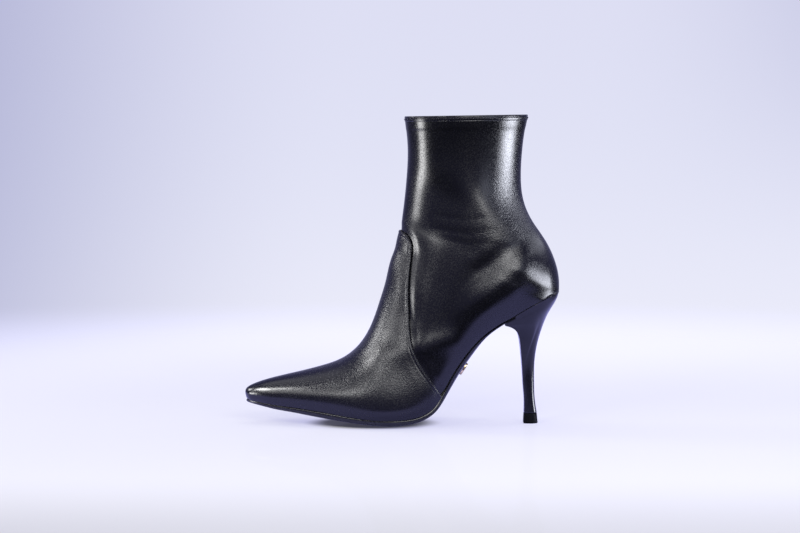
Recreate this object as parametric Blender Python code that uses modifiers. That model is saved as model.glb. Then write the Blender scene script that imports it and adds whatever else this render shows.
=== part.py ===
"""Pointed ankle boot on a slim high heel, for the left foot, standing empty on its sole and heel tip.

The toe points to -X, the outer side of the foot faces -Y and +Z is up. The floor is z = 0.
Tables and sizes are in millimetres, and MM turns them into metres where a shape is made.
"""

import math
from collections import namedtuple

import bmesh
import bpy
import numpy as np
from mathutils import Matrix, Vector

MM = 0.001

# Driving sizes
WALL = 2.0  # upper leather with its lining
VAMP_LEATHER = 1.1
GAP = 0.3  # between pieces that meet
VAMP_TRIM = 1.0  # bare strip between the vamp's edge and the sole
VAMP_TOP_SLOPE = math.radians(146)  # its top edge, rising towards the front
VAMP_TOP_RUN = 12.0
VAMP_FORM_TOP = 152.0  # front height that the form it is cut from reaches
VAMP_CUT_REACH = 60.0  # half width of the cut, wider than the boot
TOE_SWING = 4.0  # the toe leans this far to the inner side
CREST = 3.0  # the instep's crest lies this far to the inner side
COUNTER_SWELL = 4.4  # the stiff heel counter stands out this far from the ankle above it
COUNTER_STEP = 20.0  # height of the slope between the two
COUNTER_FULL = 24.0  # half width from which the counter stands out fully
COUNTER_FOOT = 0.2  # share of a section over which it comes out of the feather line
COUNTER_FOOT_BACK = 0.45  # the same at the heel's back
BALL_X = 0.0
CENTRE_X = 0.1  # shifts that bring the middle of the boot's box to the origin
CENTRE_Y = -0.65
INSOLE_THICKNESS = 2.0
INSOLE_CLEARANCE = 0.5
INSOLE_TOE = 6.5  # the insole begins this far behind the toe's tip
INSOLE_HEEL = 2.0  # and ends this far short of the heel's back, along the feather line
SOLE_START = 0.9  # first section of the sole along the feather line
SOLE_SIDE = 0.6  # share of the sole's thickness that its upright side takes
SOLE_TUCK = 0.35  # its bottom is this share of the thickness narrower on each side
SOLE_FLUSH = 0.3  # sole past the upper in the waist
BEAD_RADIUS = 1.3
TOP_PIECE_HEIGHT = 7.0
PLATE_LENGTH = 9.5
PLATE_WIDTH = 4.6
PLATE_THICKNESS = 1.5
PLATE_RIM = 0.3
PLATE_X = 39.5  # where the plate sits along the waist
PLATE_Y = -5.0  # and across it
PLATE_GAP = 0.4  # at its middle, because the waist is hollow along its length

# Mesh density
UPPER_OPEN_ROWS = 27
UPPER_CLOSED_ROWS = 13
UPPER_COLUMNS = 28
SEAM_POINTS = 24
UPPER_CROWDING = 0.55
SOLE_STATIONS = 30
SOLE_COLUMNS = 9
SOLE_CROWDING = 0.25
INSOLE_STATIONS = 26
INSOLE_COLUMNS = 7
INSOLE_CROWDING = 0.45
SLOPE_STEP = 0.05
HEEL_RINGS = 20
HEEL_SIDE_POINTS = 11
BREAST_POINTS = 3
HALF_SAMPLES = 60

# Front profile of the upper under the vamp, from the toe's tip up to the collar
Profile = namedtuple("Profile", "x z")
FRONT = [
    Profile(-110.7, 17.0),
    Profile(-111.2, 20.4),
    Profile(-111.1, 22.7),
    Profile(-108.4, 25.0),
    Profile(-104.1, 26.9),
    Profile(-91.3, 30.8),
    Profile(-74.1, 34.8),
    Profile(-56.8, 39.2),
    Profile(-43.5, 44.0),
    Profile(-34.5, 50.0),
    Profile(-25.6, 60.3),
    Profile(-19.2, 73.2),
    Profile(-14.2, 87.9),
    Profile(-10.0, 102.3),
    Profile(-6.6, 116.8),
    Profile(-4.0, 124.2),
    Profile(-2.2, 132.0),
    Profile(-0.3, 145.6),
    Profile(1.5, 159.9),
    Profile(2.9, 174.2),
    Profile(3.8, 188.5),
    Profile(3.7, 200.0),
    Profile(2.9, 209.0),
    Profile(2.0, 216.7),
]

# Back profile, from the heel seat up to the collar
BACK = [
    Profile(112.2, 95.1),
    Profile(112.2, 102.0),
    Profile(109.0, 117.0),
    Profile(102.2, 131.3),
    Profile(92.6, 145.6),
    Profile(86.5, 159.9),
    Profile(84.6, 178.0),
    Profile(85.5, 195.6),
    Profile(87.2, 209.0),
    Profile(89.0, 218.0),
]

# Feather line, where the upper meets the sole: half widths to the outer and inner side of
# the foot, the belly of the bottom between them, and the sole's thickness and its overhang
Feather = namedtuple("Feather", "x z outer inner belly sole overhang")
FEATHER = [
    Feather(-110.7, 16.9, 0.0, 0.0, 0.0, 1.6, 1.4),
    Feather(-110.0, 16.8, 2.5, 2.5, 0.0, 1.7, 1.4),
    Feather(-108.2, 16.6, 4.6, 4.6, 0.1, 1.9, 1.4),
    Feather(-100.7, 15.6, 9.3, 9.3, 0.3, 2.3, 1.4),
    Feather(-90.7, 14.1, 13.6, 13.6, 0.6, 2.7, 1.4),
    Feather(-78.7, 13.0, 18.2, 18.2, 1.0, 3.1, 1.4),
    Feather(-64.7, 11.6, 23.2, 23.3, 1.6, 3.7, 1.4),
    Feather(-48.7, 9.5, 28.3, 28.9, 2.2, 3.8, 1.4),
    Feather(-30.7, 7.0, 32.9, 33.6, 2.7, 3.5, 1.4),
    Feather(-14.7, 5.8, 35.2, 34.9, 3.0, 3.5, 1.4),
    Feather(-0.7, 6.1, 35.6, 33.2, 3.0, 3.4, 1.4),
    Feather(12.5, 8.5, 33.6, 30.0, 2.2, 3.1, 1.3),
    Feather(21.0, 13.5, 30.8, 27.0, 1.2, 2.9, 1.1),
    Feather(28.0, 22.8, 27.7, 24.8, 0.6, 2.8, 0.6),
    Feather(39.3, 41.9, 25.0, 23.2, 0.7, 3.1, 0.3),
    Feather(49.2, 55.3, 24.0, 22.7, 0.5, 2.7, 0.3),
    Feather(59.8, 65.7, 23.6, 22.9, 0.1, 1.2, 0.3),
    Feather(71.0, 73.4, 23.8, 23.5, 0.0, 0.8, 0.3),
    Feather(80.0, 79.0, 24.1, 24.1, 0.0, 0.8, 0.3),
    Feather(90.0, 85.0, 24.0, 24.0, 0.0, 0.8, 0.3),
    Feather(99.0, 89.6, 21.7, 21.7, 0.0, 0.8, 0.3),
    Feather(106.5, 92.9, 16.2, 16.2, 0.0, 0.8, 0.3),
    Feather(110.8, 94.6, 8.6, 8.6, 0.0, 0.8, 0.3),
    Feather(112.2, 95.1, 0.0, 0.0, 0.0, 0.8, 0.3),
]

# Sections of the upper. Each lies in a plane from the feather line or, once it is a closed
# loop, from the back profile up to the front profile. front is the height where it meets the
# front profile. foot is its x on the feather line, and back its height on the back profile.
# outer and inner are the largest half widths, and widest is how far up the section they lie.
# crown and flank are the exponents of the rounding above and below the widest place.
Section = namedtuple("Section", "front foot back outer inner widest crown flank")
SECTIONS = [
    Section(17.0, -108.6, None, 4.4, 4.4, 0.05, 2.0, 2.0),
    Section(20.2, -106.4, None, 6.3, 6.3, 0.12, 2.0, 2.0),
    Section(23.6, -103.6, None, 8.3, 8.3, 0.20, 2.1, 2.0),
    Section(26.2, -98.6, None, 11.3, 11.3, 0.27, 2.15, 2.0),
    Section(30.8, -86.0, None, 17.0, 17.0, 0.32, 2.15, 2.0),
    Section(34.8, -68.5, None, 23.8, 23.9, 0.31, 2.1, 2.0),
    Section(39.2, -49.0, None, 30.6, 31.2, 0.28, 2.1, 2.0),
    Section(44.0, -32.0, None, 35.6, 36.0, 0.22, 2.2, 2.0),
    Section(52.0, -16.0, None, 38.3, 38.1, 0.16, 2.25, 2.0),
    Section(63.0, -1.5, None, 38.7, 37.2, 0.15, 2.2, 2.0),
    Section(78.0, 12.5, None, 37.5, 35.6, 0.17, 2.05, 2.2),
    Section(95.0, 27.5, None, 35.0, 33.8, 0.31, 1.88, 3.0),
    Section(112.0, 44.5, None, 33.4, 32.8, 0.39, 1.9, 2.8),
    Section(127.0, 64.0, None, 32.8, 32.6, 0.43, 1.95, 2.8),
    Section(138.2, 84.0, None, 32.8, 32.7, 0.45, 2.0, 2.7),
    Section(146.0, 102.0, None, 33.0, 33.0, 0.46, 2.0, 2.3),
    Section(153.0, None, 95.1, 33.2, 33.2, 0.46, 2.0, 2.05),
    Section(164.0, None, 110.0, 33.0, 33.0, 0.47, 2.0, 1.95),
    Section(176.0, None, 129.0, 32.2, 32.2, 0.48, 2.0, 1.82),
    Section(188.0, None, 152.0, 31.6, 31.6, 0.50, 2.0, 1.75),
    Section(199.0, None, 180.0, 32.0, 32.0, 0.50, 2.05, 1.75),
    Section(209.0, None, 203.0, 33.3, 33.3, 0.50, 2.1, 1.78),
    Section(216.7, None, 218.0, 34.6, 34.6, 0.50, 2.1, 1.8),
]

# Middle of the slope above the heel counter seen from the side, from the quarter to the back
COUNTER_LINE = [Profile(37.0, 90.0), Profile(97.0, 131.0)]

# Edge of the vamp seen from the side, from the sole up to its rounded upper corner
SEAM = [
    Profile(27.6, 22.0),
    Profile(20.0, 33.7),
    Profile(14.0, 42.5),
    Profile(9.4, 51.2),
    Profile(6.5, 61.3),
    Profile(4.2, 80.0),
    Profile(3.7, 95.0),
    Profile(4.6, 111.5),
    Profile(6.0, 124.0),
    Profile(6.1, 130.0),
    Profile(4.6, 134.0),
    Profile(1.6, 136.6),
]

# Heel, one row for each ring from the seat down: the breast and back ends of the ring, its
# half width and the half width of its breast
Heel = namedtuple("Heel", "front_x front_z back_x back_z half breast")
HEEL = [
    Heel(72.2, 71.9, 111.4, 91.9, 24.0, 23.0),
    Heel(76.0, 70.7, 109.4, 87.6, 22.4, 20.6),
    Heel(80.0, 68.3, 106.6, 83.0, 19.6, 17.0),
    Heel(82.7, 64.1, 103.8, 78.0, 16.0, 13.2),
    Heel(84.1, 57.8, 100.7, 70.4, 12.0, 9.6),
    Heel(85.0, 48.8, 97.1, 58.6, 8.5, 6.8),
    Heel(85.8, 39.0, 94.9, 45.0, 6.1, 4.9),
    Heel(86.5, 27.0, 94.6, 30.0, 5.1, 4.1),
    Heel(87.3, 16.0, 95.2, 16.6, 5.1, 4.0),
    Heel(87.2, TOP_PIECE_HEIGHT + GAP, 96.6, TOP_PIECE_HEIGHT + GAP, 5.5, 4.3),
]
TOP_PIECE = [
    Heel(87.2, TOP_PIECE_HEIGHT, 96.6, TOP_PIECE_HEIGHT, 5.5, 4.3),
    Heel(86.9, 0.0, 97.3, 0.0, 5.9, 4.6),
]
SEAT_FRONT_X = 72.0  # the heel's breast begins here
SOLE_END_X = 70.9  # and the sole, cut square to its slope, ends against it
HEEL_WIDEST = 0.55  # of a ring's length, from its back
HEEL_ROUNDING = 2.2
HEEL_BACK_TURN = 0.06  # half of the short flat left at a ring's back, as a share of the half turn

BLACK_LEATHER = ((0.012, 0.012, 0.016), 0.34, 0.0)
SOLE_LEATHER = ((0.014, 0.013, 0.016), 0.30, 0.0)
LINING_LEATHER = ((0.030, 0.028, 0.028), 0.60, 0.0)
TIP_RUBBER = ((0.010, 0.010, 0.012), 0.45, 0.0)
PALE_BRASS = ((0.80, 0.62, 0.34), 0.22, 1.0)


# Curves through table rows


def cubic(knots, values):
    """A smooth cubic through the values at the knots, as a function of the knot distance."""
    knots = np.asarray(knots, float)
    values = np.asarray(values, float)
    step = np.diff(knots)
    rise = np.diff(values, axis=0) / step[:, None]
    count = len(knots)
    system = np.eye(count)
    right = np.zeros_like(values)
    for i in range(1, count - 1):
        system[i, i - 1 : i + 2] = step[i - 1], 2 * (step[i - 1] + step[i]), step[i]
        right[i] = 6 * (rise[i] - rise[i - 1])
    bend = np.linalg.solve(system, right)

    def at(distance):
        distance = np.atleast_1d(np.asarray(distance, float))
        i = np.clip(np.searchsorted(knots, distance) - 1, 0, count - 2)
        h = step[i][:, None]
        near = (distance - knots[i])[:, None]
        far = h - near
        cubes = bend[i] * far**3 + bend[i + 1] * near**3
        lines = (values[i] / h - bend[i] * h / 6) * far + (values[i + 1] / h - bend[i + 1] * h / 6) * near
        return cubes / (6 * h) + lines

    return at


def chord_knots(points):
    return np.concatenate([[0.0], np.cumsum(np.linalg.norm(np.diff(points, axis=0), axis=1))])


class Rail:
    """A smooth curve through the rows of a table, read by the distance along it."""

    def __init__(self, rows, mirrored=False):
        values = np.array(rows, float)
        lengths = values[:, :3] if mirrored else values
        knots = chord_knots(lengths)
        self.length = knots[-1]
        self.knots = knots
        self.values = values
        if mirrored:
            turned = values * np.array([1, 1, -1, -1, 1, 1, 1])
            values = np.vstack([turned[2:0:-1], values, turned[-2:-4:-1]])
            knots = np.concatenate([-knots[2:0:-1], knots, 2 * knots[-1] - knots[-2:-4:-1]])
        self.at = cubic(knots, values)

    def distance(self, column, value):
        """The distance where a column that only rises has this value."""
        fine = np.linspace(0, self.length, 2000)
        return float(np.interp(value, self.at(fine)[:, column], fine))


front_rail = Rail(FRONT)
back_rail = Rail(BACK)
feather_rail = Rail(FEATHER, mirrored=True)
seam_rail = Rail(SEAM)


def rise_distance(height):
    return front_rail.distance(1, height)


def section_rows():
    """Each section as distances: along the front, along feather line and back, then its other columns."""
    rows = []
    for s in SECTIONS:
        if s.foot is None:
            base = feather_rail.length + back_rail.distance(1, s.back)
        else:
            base = feather_rail.distance(0, s.foot)
        rows.append([rise_distance(s.front), base, s.outer, s.inner, s.widest, s.crown, s.flank])
    return np.array(rows)


section_table = section_rows()
section_knots = section_table[:, :2].mean(axis=1)
section_knots = section_knots - section_knots[0]
section_at = cubic(section_knots, section_table)
SECTION_END = section_knots[-1]


def section_where(column, value):
    """The place along the sections where a distance column has this value."""
    fine = np.linspace(0, SECTION_END, 4000)
    return float(np.interp(value, section_at(fine)[:, column], fine))


FIRST_CLOSED = next(i for i, s in enumerate(SECTIONS) if s.back is not None)
HEEL_CLOSE = section_knots[FIRST_CLOSED]


# The upper's own function


def swing(x):
    """Sideways lean of the foot's middle line towards the inner side."""
    ahead = max(0.0, (BALL_X - x) / (BALL_X - FEATHER[0].x))
    return TOE_SWING * ahead**2


def base_point(distance):
    """x, z and the two half widths on the feather line, or on the back profile beyond it."""
    if distance < feather_rail.length:
        x, z, outer, inner = feather_rail.at(distance)[0][:4]
        return x, z, max(outer, 0.0), max(inner, 0.0)
    x, z = back_rail.at(distance - feather_rail.length)[0]
    return x, z, 0.0, 0.0


def half_section(length, foot, half, widest, crown, flank):
    """Points (along, out) of one side of a section, from its foot up to the front profile."""
    half = max(half, foot * 1.004 + 0.02)
    up = np.linspace(0, 1, HALF_SAMPLES)
    below = widest * length
    reach = (1 - (foot / half) ** flank) ** (1 / flank)
    start = math.asin(min(1.0, reach))
    turn = np.linspace(start, 0, HALF_SAMPLES)
    low_along = below * (1 - np.sin(turn) / max(math.sin(start), 1e-6))
    low_out = half * (1 - np.clip(reach * np.sin(turn) / math.sin(start), 0, 1) ** flank) ** (1 / flank)
    over = up * math.pi / 2
    high_along = below + (length - below) * np.sin(over) ** (2 / crown)
    high_out = half * np.cos(over) ** (2 / crown)
    along = np.concatenate([low_along, high_along[1:]])
    out = np.concatenate([low_out, high_out[1:]])
    return np.column_stack([along, out])


def smooth_step(low, high, value):
    share = np.clip((value - low) / (high - low), 0, 1)
    return share * share * (3 - 2 * share)


def counter_swell(points, out, share):
    """How far the stiff heel counter stands out from the softer ankle above it."""
    start, end = np.array(COUNTER_LINE)
    run = (end - start) / np.linalg.norm(end - start)
    x, z = points[:, 0], points[:, 2]
    above = (z - start[1]) * run[0] - (x - start[0]) * run[1]
    step = 1 - smooth_step(-COUNTER_STEP / 2, COUNTER_STEP / 2, above)
    front = smooth_step(30, 64, x)
    reach = COUNTER_FOOT + (COUNTER_FOOT_BACK - COUNTER_FOOT) * smooth_step(75, 100, x)
    foot = smooth_step(0, reach, share)
    return COUNTER_SWELL * step * front * foot * np.minimum(1, out / COUNTER_FULL)


def section_curve(place):
    """The two sides of the section at this place, each as points with their distance from the foot."""
    rise, base, outer, inner, widest, crown, flank = section_at(place)[0]
    x0, z0, foot_outer, foot_inner = base_point(base)
    x1, z1 = front_rail.at(rise)[0]
    length = math.hypot(x1 - x0, z1 - z0)
    crest = CREST * math.sin(math.pi * min(1.0, rise / rise_distance(SECTIONS[FIRST_CLOSED].front))) ** 2
    sides = []
    for sign, foot, half in ((-1, foot_outer, outer), (1, foot_inner, inner)):
        flat = half_section(length, foot, half, widest, crown, flank)
        share = flat[:, :1] / length
        middle = swing(x0) * (1 - share) + (swing(x1) + crest) * share
        points = np.hstack([x0 + (x1 - x0) * share, middle + sign * flat[:, 1:], z0 + (z1 - z0) * share])
        points[:, 1] += sign * counter_swell(points, flat[:, 1], share[:, 0])
        sides.append((points, chord_knots(points)))
    return sides


def on_side(side, distance):
    points, knots = side
    return np.array([np.interp(distance, knots, points[:, k]) for k in range(3)])


def upper_point(sides, across):
    """A point of a section: across runs from 0 at the outer foot over the front at 0.5 to 1."""
    side = sides[0] if across <= 0.5 else sides[1]
    share = 2 * across if across <= 0.5 else 2 * (1 - across)
    return on_side(side, share * side[1][-1])


def eased(count, start, end, crowding):
    """Places from start to end that crowd towards both ends, from 0 for evenly to 1."""
    even = np.linspace(0, 1, count + 1)
    slow = (1 - np.cos(math.pi * even)) / 2
    return start + (end - start) * ((1 - crowding) * even + crowding * slow)


# Making objects


def material(name, finish):
    colour, roughness, metallic = finish
    made = bpy.data.materials.new(name)
    made.use_nodes = True
    shader = made.node_tree.nodes["Principled BSDF"]
    shader.inputs["Base Color"].default_value = (*colour, 1)
    shader.inputs["Roughness"].default_value = roughness
    shader.inputs["Metallic"].default_value = metallic
    return made


def add_object(name, mesh, finish):
    mesh.materials.append(finish)
    made = bpy.data.objects.new(name, mesh)
    bpy.data.collections["ankle_boot"].objects.link(made)
    made.parent = bpy.data.objects["boot_frame"]
    mesh.shade_smooth()
    mesh.set_sharp_from_angle(angle=math.radians(40))
    return made


def grid_object(name, rows, columns, finish):
    """An open sheet whose points are given row by row, closed where its edges meet."""
    bm = bmesh.new()
    bmesh.ops.create_grid(bm, x_segments=columns, y_segments=len(rows) - 1, size=0.5)
    for vert in bm.verts:
        column = round((vert.co.x + 0.5) * columns)
        row = round((vert.co.y + 0.5) * (len(rows) - 1))
        vert.co = Vector(rows[row][column]) * MM
    bmesh.ops.remove_doubles(bm, verts=bm.verts, dist=1e-6)
    bmesh.ops.reverse_faces(bm, faces=bm.faces)
    mesh = bpy.data.meshes.new(name)
    bm.to_mesh(mesh)
    bm.free()
    return add_object(name, mesh, finish)


def loft_object(name, loops, finish):
    """A closed solid through loops of as many points each, its ends closed rung by rung."""
    bm = bmesh.new()
    rings = [[bm.verts.new(Vector(p) * MM) for p in loop] for loop in loops]
    count = len(rings[0])
    for ring, following in zip(rings, rings[1:]):
        for k in range(count):
            after = (k + 1) % count
            bm.faces.new((ring[k], ring[after], following[after], following[k]))
    for ring in (rings[0], rings[-1]):
        for k in range(count // 2 - 1):
            bm.faces.new((ring[k], ring[k + 1], ring[count - 2 - k], ring[count - 1 - k]))
    bmesh.ops.recalc_face_normals(bm, faces=bm.faces)
    mesh = bpy.data.meshes.new(name)
    bm.to_mesh(mesh)
    bm.free()
    return add_object(name, mesh, finish)


def thicken(made, thickness, offset):
    wall = made.modifiers.new("wall", "SOLIDIFY")
    wall.thickness = thickness * MM
    wall.offset = offset
    return made


# Upper


def upper_places():
    open_places = eased(UPPER_OPEN_ROWS, 0, HEEL_CLOSE, UPPER_CROWDING)
    closed_places = np.linspace(HEEL_CLOSE, SECTION_END, UPPER_CLOSED_ROWS + 1)[1:]
    return [*open_places, *closed_places]


def upper_row(place):
    sides = section_curve(place)
    return [upper_point(sides, k / UPPER_COLUMNS) for k in range(UPPER_COLUMNS + 1)]


def make_upper(finish):
    rows = [upper_row(place) for place in upper_places()]
    return thicken(grid_object("upper", rows, UPPER_COLUMNS, finish), WALL, -1)


# Vamp, a second leather over the front of the upper


def vamp_outline():
    """The vamp seen from the side: up its rear edge, off past the front and back above the sole."""
    edge = seam_rail.at(np.linspace(0, seam_rail.length, SEAM_POINTS))
    across = edge[-1] + (VAMP_TOP_RUN * math.cos(VAMP_TOP_SLOPE), VAMP_TOP_RUN * math.sin(VAMP_TOP_SLOPE))
    ahead = FEATHER[0].x - VAMP_TOP_RUN
    sole = feather_rail.at(np.linspace(0, feather_rail.distance(0, SEAM[0].x), SEAM_POINTS))[:, :2]
    strip = sole + (0, VAMP_TRIM)
    return [*edge, across, (ahead, across[1]), (ahead, strip[0][1]), *strip[:-1]]


def make_vamp_cutter():
    bm = bmesh.new()
    outline = [bm.verts.new(Vector((x, -VAMP_CUT_REACH, z)) * MM) for x, z in vamp_outline()]
    face = bm.faces.new(outline)
    pulled = bmesh.ops.extrude_face_region(bm, geom=[face])["geom"]
    moved = [v for v in pulled if isinstance(v, bmesh.types.BMVert)]
    bmesh.ops.translate(bm, verts=moved, vec=(0, 2 * VAMP_CUT_REACH * MM, 0))
    bmesh.ops.recalc_face_normals(bm, faces=bm.faces)
    mesh = bpy.data.meshes.new("vamp_outline")
    bm.to_mesh(mesh)
    bm.free()
    made = bpy.data.objects.new("vamp_outline", mesh)
    bpy.data.collections["cutters"].objects.link(made)
    made.hide_render = True
    made.display_type = "WIRE"
    return made


def make_vamp(finish):
    """A larger form of the upper's own surface, cut to the vamp's outline."""
    top = section_where(0, rise_distance(VAMP_FORM_TOP))
    places = [place for place in upper_places() if place < top]
    made = grid_object("vamp", [upper_row(place) for place in places], UPPER_COLUMNS, finish)
    lift = made.modifiers.new("gap_to_upper", "DISPLACE")
    lift.strength = GAP * MM
    lift.mid_level = 0
    thicken(made, VAMP_LEATHER, 1)
    cut = made.modifiers.new("vamp_outline", "BOOLEAN")
    cut.operation = "INTERSECT"
    cut.object = make_vamp_cutter()
    return made


# Collar


def make_collar_bead(finish):
    """A round bound edge on the top of the upper's wall."""
    sides = section_curve(SECTION_END)
    rim = np.array([upper_point(sides, k / UPPER_COLUMNS) for k in range(UPPER_COLUMNS)])
    middle = rim.mean(axis=0)
    curve = bpy.data.curves.new("collar_bead", "CURVE")
    curve.dimensions = "3D"
    curve.bevel_depth = BEAD_RADIUS * MM
    curve.bevel_resolution = 2
    line = curve.splines.new("POLY")
    line.points.add(len(rim) - 1)
    line.use_cyclic_u = True
    for point, place in zip(line.points, rim):
        inward = (middle - place) * (1, 1, 0)
        seat = place + WALL / 2 * inward / np.linalg.norm(inward) + (0, 0, BEAD_RADIUS + GAP)
        point.co = (*(Vector(seat) * MM), 1)
    curve.materials.append(finish)
    made = bpy.data.objects.new("collar_bead", curve)
    bpy.data.collections["ankle_boot"].objects.link(made)
    made.parent = bpy.data.objects["boot_frame"]
    return made


# Sole and insole


def bottom_station(distance, offset):
    """The bottom at a distance along the feather line, its outline moved out by offset.

    Gives the outer and inner edge points, the belly, the upward normal and the sole thickness.
    """
    row = feather_rail.at(distance)[0]
    behind, ahead = feather_rail.at([distance - SLOPE_STEP, distance + SLOPE_STEP])
    slope = ahead - behind
    along = np.array([slope[0], slope[1]])
    run = np.linalg.norm(along)
    tangent = along / run if run > 1e-4 else np.array([1.0, 0.0])
    middle = swing(row[0])
    edges = []
    for sign, column in ((-1, 2), (1, 3)):
        turn = np.array([run, slope[column]])
        turn = turn / np.linalg.norm(turn)
        shift = -offset * turn[1]
        half = row[column] + offset * turn[0]
        x, z = row[:2] + shift * tangent
        edges.append(np.array([x, middle + sign * half, z]))
    normal = np.array([-tangent[1], 0.0, tangent[0]])
    return edges, row[4], normal, row[5]


def bottom_row(edges, belly, normal, lift, columns):
    """Points across the bottom from the outer to the inner edge, raised by lift."""
    row = []
    for share in np.linspace(0, 1, columns):
        place = (1 - share) * edges[0] + share * edges[1]
        sag = belly * (1 - (2 * share - 1) ** 2)
        row.append(place + (lift - sag) * normal)
    return row


def sole_loop(distance):
    """One cross-section of the sole: its top, then its rounded edge and its bottom back again."""
    overhang = feather_rail.at(distance)[0][6]
    edges, belly, normal, thickness = bottom_station(distance, overhang)
    tucked, *_ = bottom_station(distance, overhang - SOLE_TUCK * thickness)
    top = bottom_row(edges, belly, normal, -GAP, SOLE_COLUMNS)
    low = bottom_row(tucked, belly, normal, -GAP - thickness, SOLE_COLUMNS)
    outer_side, inner_side = (p - SOLE_SIDE * thickness * normal for p in (top[0], top[-1]))
    outer_middle = (top[0] + outer_side) / 2
    inner_middle = (top[-1] + inner_side) / 2
    for point in (*low, outer_side, inner_side):
        point[2] = max(point[2], 0.0)
    return [outer_middle, *top, inner_middle, inner_side, *reversed(low), outer_side]


def make_outsole(finish):
    end = feather_rail.distance(0, SOLE_END_X)
    places = eased(SOLE_STATIONS, SOLE_START, end, SOLE_CROWDING)
    return loft_object("outsole", [sole_loop(d) for d in places], finish)


def make_insole(finish):
    inset = -(WALL + INSOLE_CLEARANCE)
    start = feather_rail.distance(0, FEATHER[0].x + INSOLE_TOE)
    places = eased(INSOLE_STATIONS, start, feather_rail.length - INSOLE_HEEL, INSOLE_CROWDING)
    loops = []
    for distance in places:
        edges, belly, normal, _ = bottom_station(distance, inset)
        top = bottom_row(edges, belly, normal, INSOLE_THICKNESS, INSOLE_COLUMNS)
        low = bottom_row(edges, belly, normal, 0.0, INSOLE_COLUMNS)
        loops.append([*top, *reversed(low)])
    return loft_object("insole", loops, finish)


# Heel


def ring_outline(half, breast):
    """(share from the back, out) down one side of a heel ring, from its breast corner to its back."""
    shares = (1 - np.cos(np.linspace(math.pi, math.pi * HEEL_BACK_TURN, HEEL_SIDE_POINTS))) / 2
    outline = []
    for share in shares:
        if share > HEEL_WIDEST:
            out = half - (half - breast) * ((share - HEEL_WIDEST) / (1 - HEEL_WIDEST)) ** 2
        else:
            out = half * (1 - (1 - share / HEEL_WIDEST) ** HEEL_ROUNDING) ** (1 / HEEL_ROUNDING)
        outline.append((share, out))
    return outline


def ring_loop(row):
    """A closed heel ring that starts and ends in the middle of the breast."""
    side = []
    for share, out in ring_outline(row.half, row.breast):
        x = row.back_x + (row.front_x - row.back_x) * share
        z = row.back_z + (row.front_z - row.back_z) * share
        side.append((x, -out, z))
    return closed_ring(side)


def closed_ring(outer_side):
    """The ring with its breast edge and its mirrored inner side."""
    x, y, z = outer_side[0]
    breast = [(x, y * (2 * k + 1) / (2 * BREAST_POINTS + 1), z) for k in range(BREAST_POINTS)]
    half = [*breast, *outer_side]
    return [*half, *[(px, -py, pz) for px, py, pz in reversed(half)]]


def seat_loop():
    """The heel's top ring, on the feather line, its points above those of the next ring."""
    overhang = FEATHER[-1].overhang
    side = []
    for share, _ in ring_outline(1.0, 1.0):
        x = FEATHER[-1].x + (SEAT_FRONT_X - FEATHER[-1].x) * share
        edges, _, normal, _ = bottom_station(feather_rail.distance(0, x), overhang)
        side.append(tuple(edges[0] - GAP * normal))
    return closed_ring(side)


def make_heel(finish):
    ring_rail = Rail(HEEL)
    rings = [ring_loop(Heel(*ring_rail.at(d)[0])) for d in np.linspace(0, ring_rail.length, HEEL_RINGS)]
    return loft_object("heel", [seat_loop(), *rings], finish)


def make_top_piece(finish):
    return loft_object("top_piece", [ring_loop(row) for row in TOP_PIECE], finish)


# Plain plate under the waist


def make_waist_plate(finish):
    distance = feather_rail.distance(0, PLATE_X)
    edges, belly, normal, thickness = bottom_station(distance, SOLE_FLUSH)
    share = 0.5 + PLATE_Y / (edges[1][1] - edges[0][1])
    sag = belly * (1 - (2 * share - 1) ** 2)
    depth = GAP + thickness + sag + PLATE_GAP + PLATE_THICKNESS / 2
    place = (1 - share) * edges[0] + share * edges[1] - depth * normal
    bpy.ops.mesh.primitive_cylinder_add(vertices=24, radius=0.5, depth=PLATE_THICKNESS * MM)
    made = bpy.context.active_object
    made.name = made.data.name = "waist_plate"
    made.data.transform(Matrix.Diagonal((PLATE_LENGTH * MM, PLATE_WIDTH * MM, 1, 1)))
    for collection in made.users_collection:
        collection.objects.unlink(made)
    bpy.data.collections["ankle_boot"].objects.link(made)
    made.parent = bpy.data.objects["boot_frame"]
    made.location = Vector(place) * MM
    made.rotation_euler = (0, -math.atan2(-normal[0], normal[2]), 0)
    rim = made.modifiers.new("rounded_rim", "BEVEL")
    rim.width = PLATE_RIM * MM
    rim.segments = 2
    made.data.materials.append(finish)
    return made


def main():
    for old in list(bpy.data.objects):
        bpy.data.objects.remove(old)
    for name in ("ankle_boot", "cutters"):
        bpy.context.scene.collection.children.link(bpy.data.collections.new(name))
    frame = bpy.data.objects.new("boot_frame", None)
    frame.location = Vector((CENTRE_X, CENTRE_Y, 0)) * MM
    bpy.data.collections["ankle_boot"].objects.link(frame)
    leather = material("black_leather", BLACK_LEATHER)
    sole_leather = material("sole_leather", SOLE_LEATHER)
    make_upper(leather)
    make_vamp(leather)
    make_collar_bead(leather)
    make_outsole(sole_leather)
    make_insole(material("lining_leather", LINING_LEATHER))
    make_heel(leather)
    make_top_piece(material("tip_rubber", TIP_RUBBER))
    make_waist_plate(material("pale_brass", PALE_BRASS))


main()
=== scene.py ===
"""Looks of the pointed ankle boot: leather, stitches, sole, heel and studio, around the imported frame.

The toe points to -X, the outer side of the foot faces -Y and +Z is up. The floor is z = 0.
Tables and sizes are in millimetres, and MM turns them into metres where a shape is made.
"""

import math
from collections import namedtuple

import bmesh
import bpy
import numpy as np
from mathutils import Matrix, Vector
from mathutils.bvhtree import BVHTree
from mathutils.kdtree import KDTree


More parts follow.
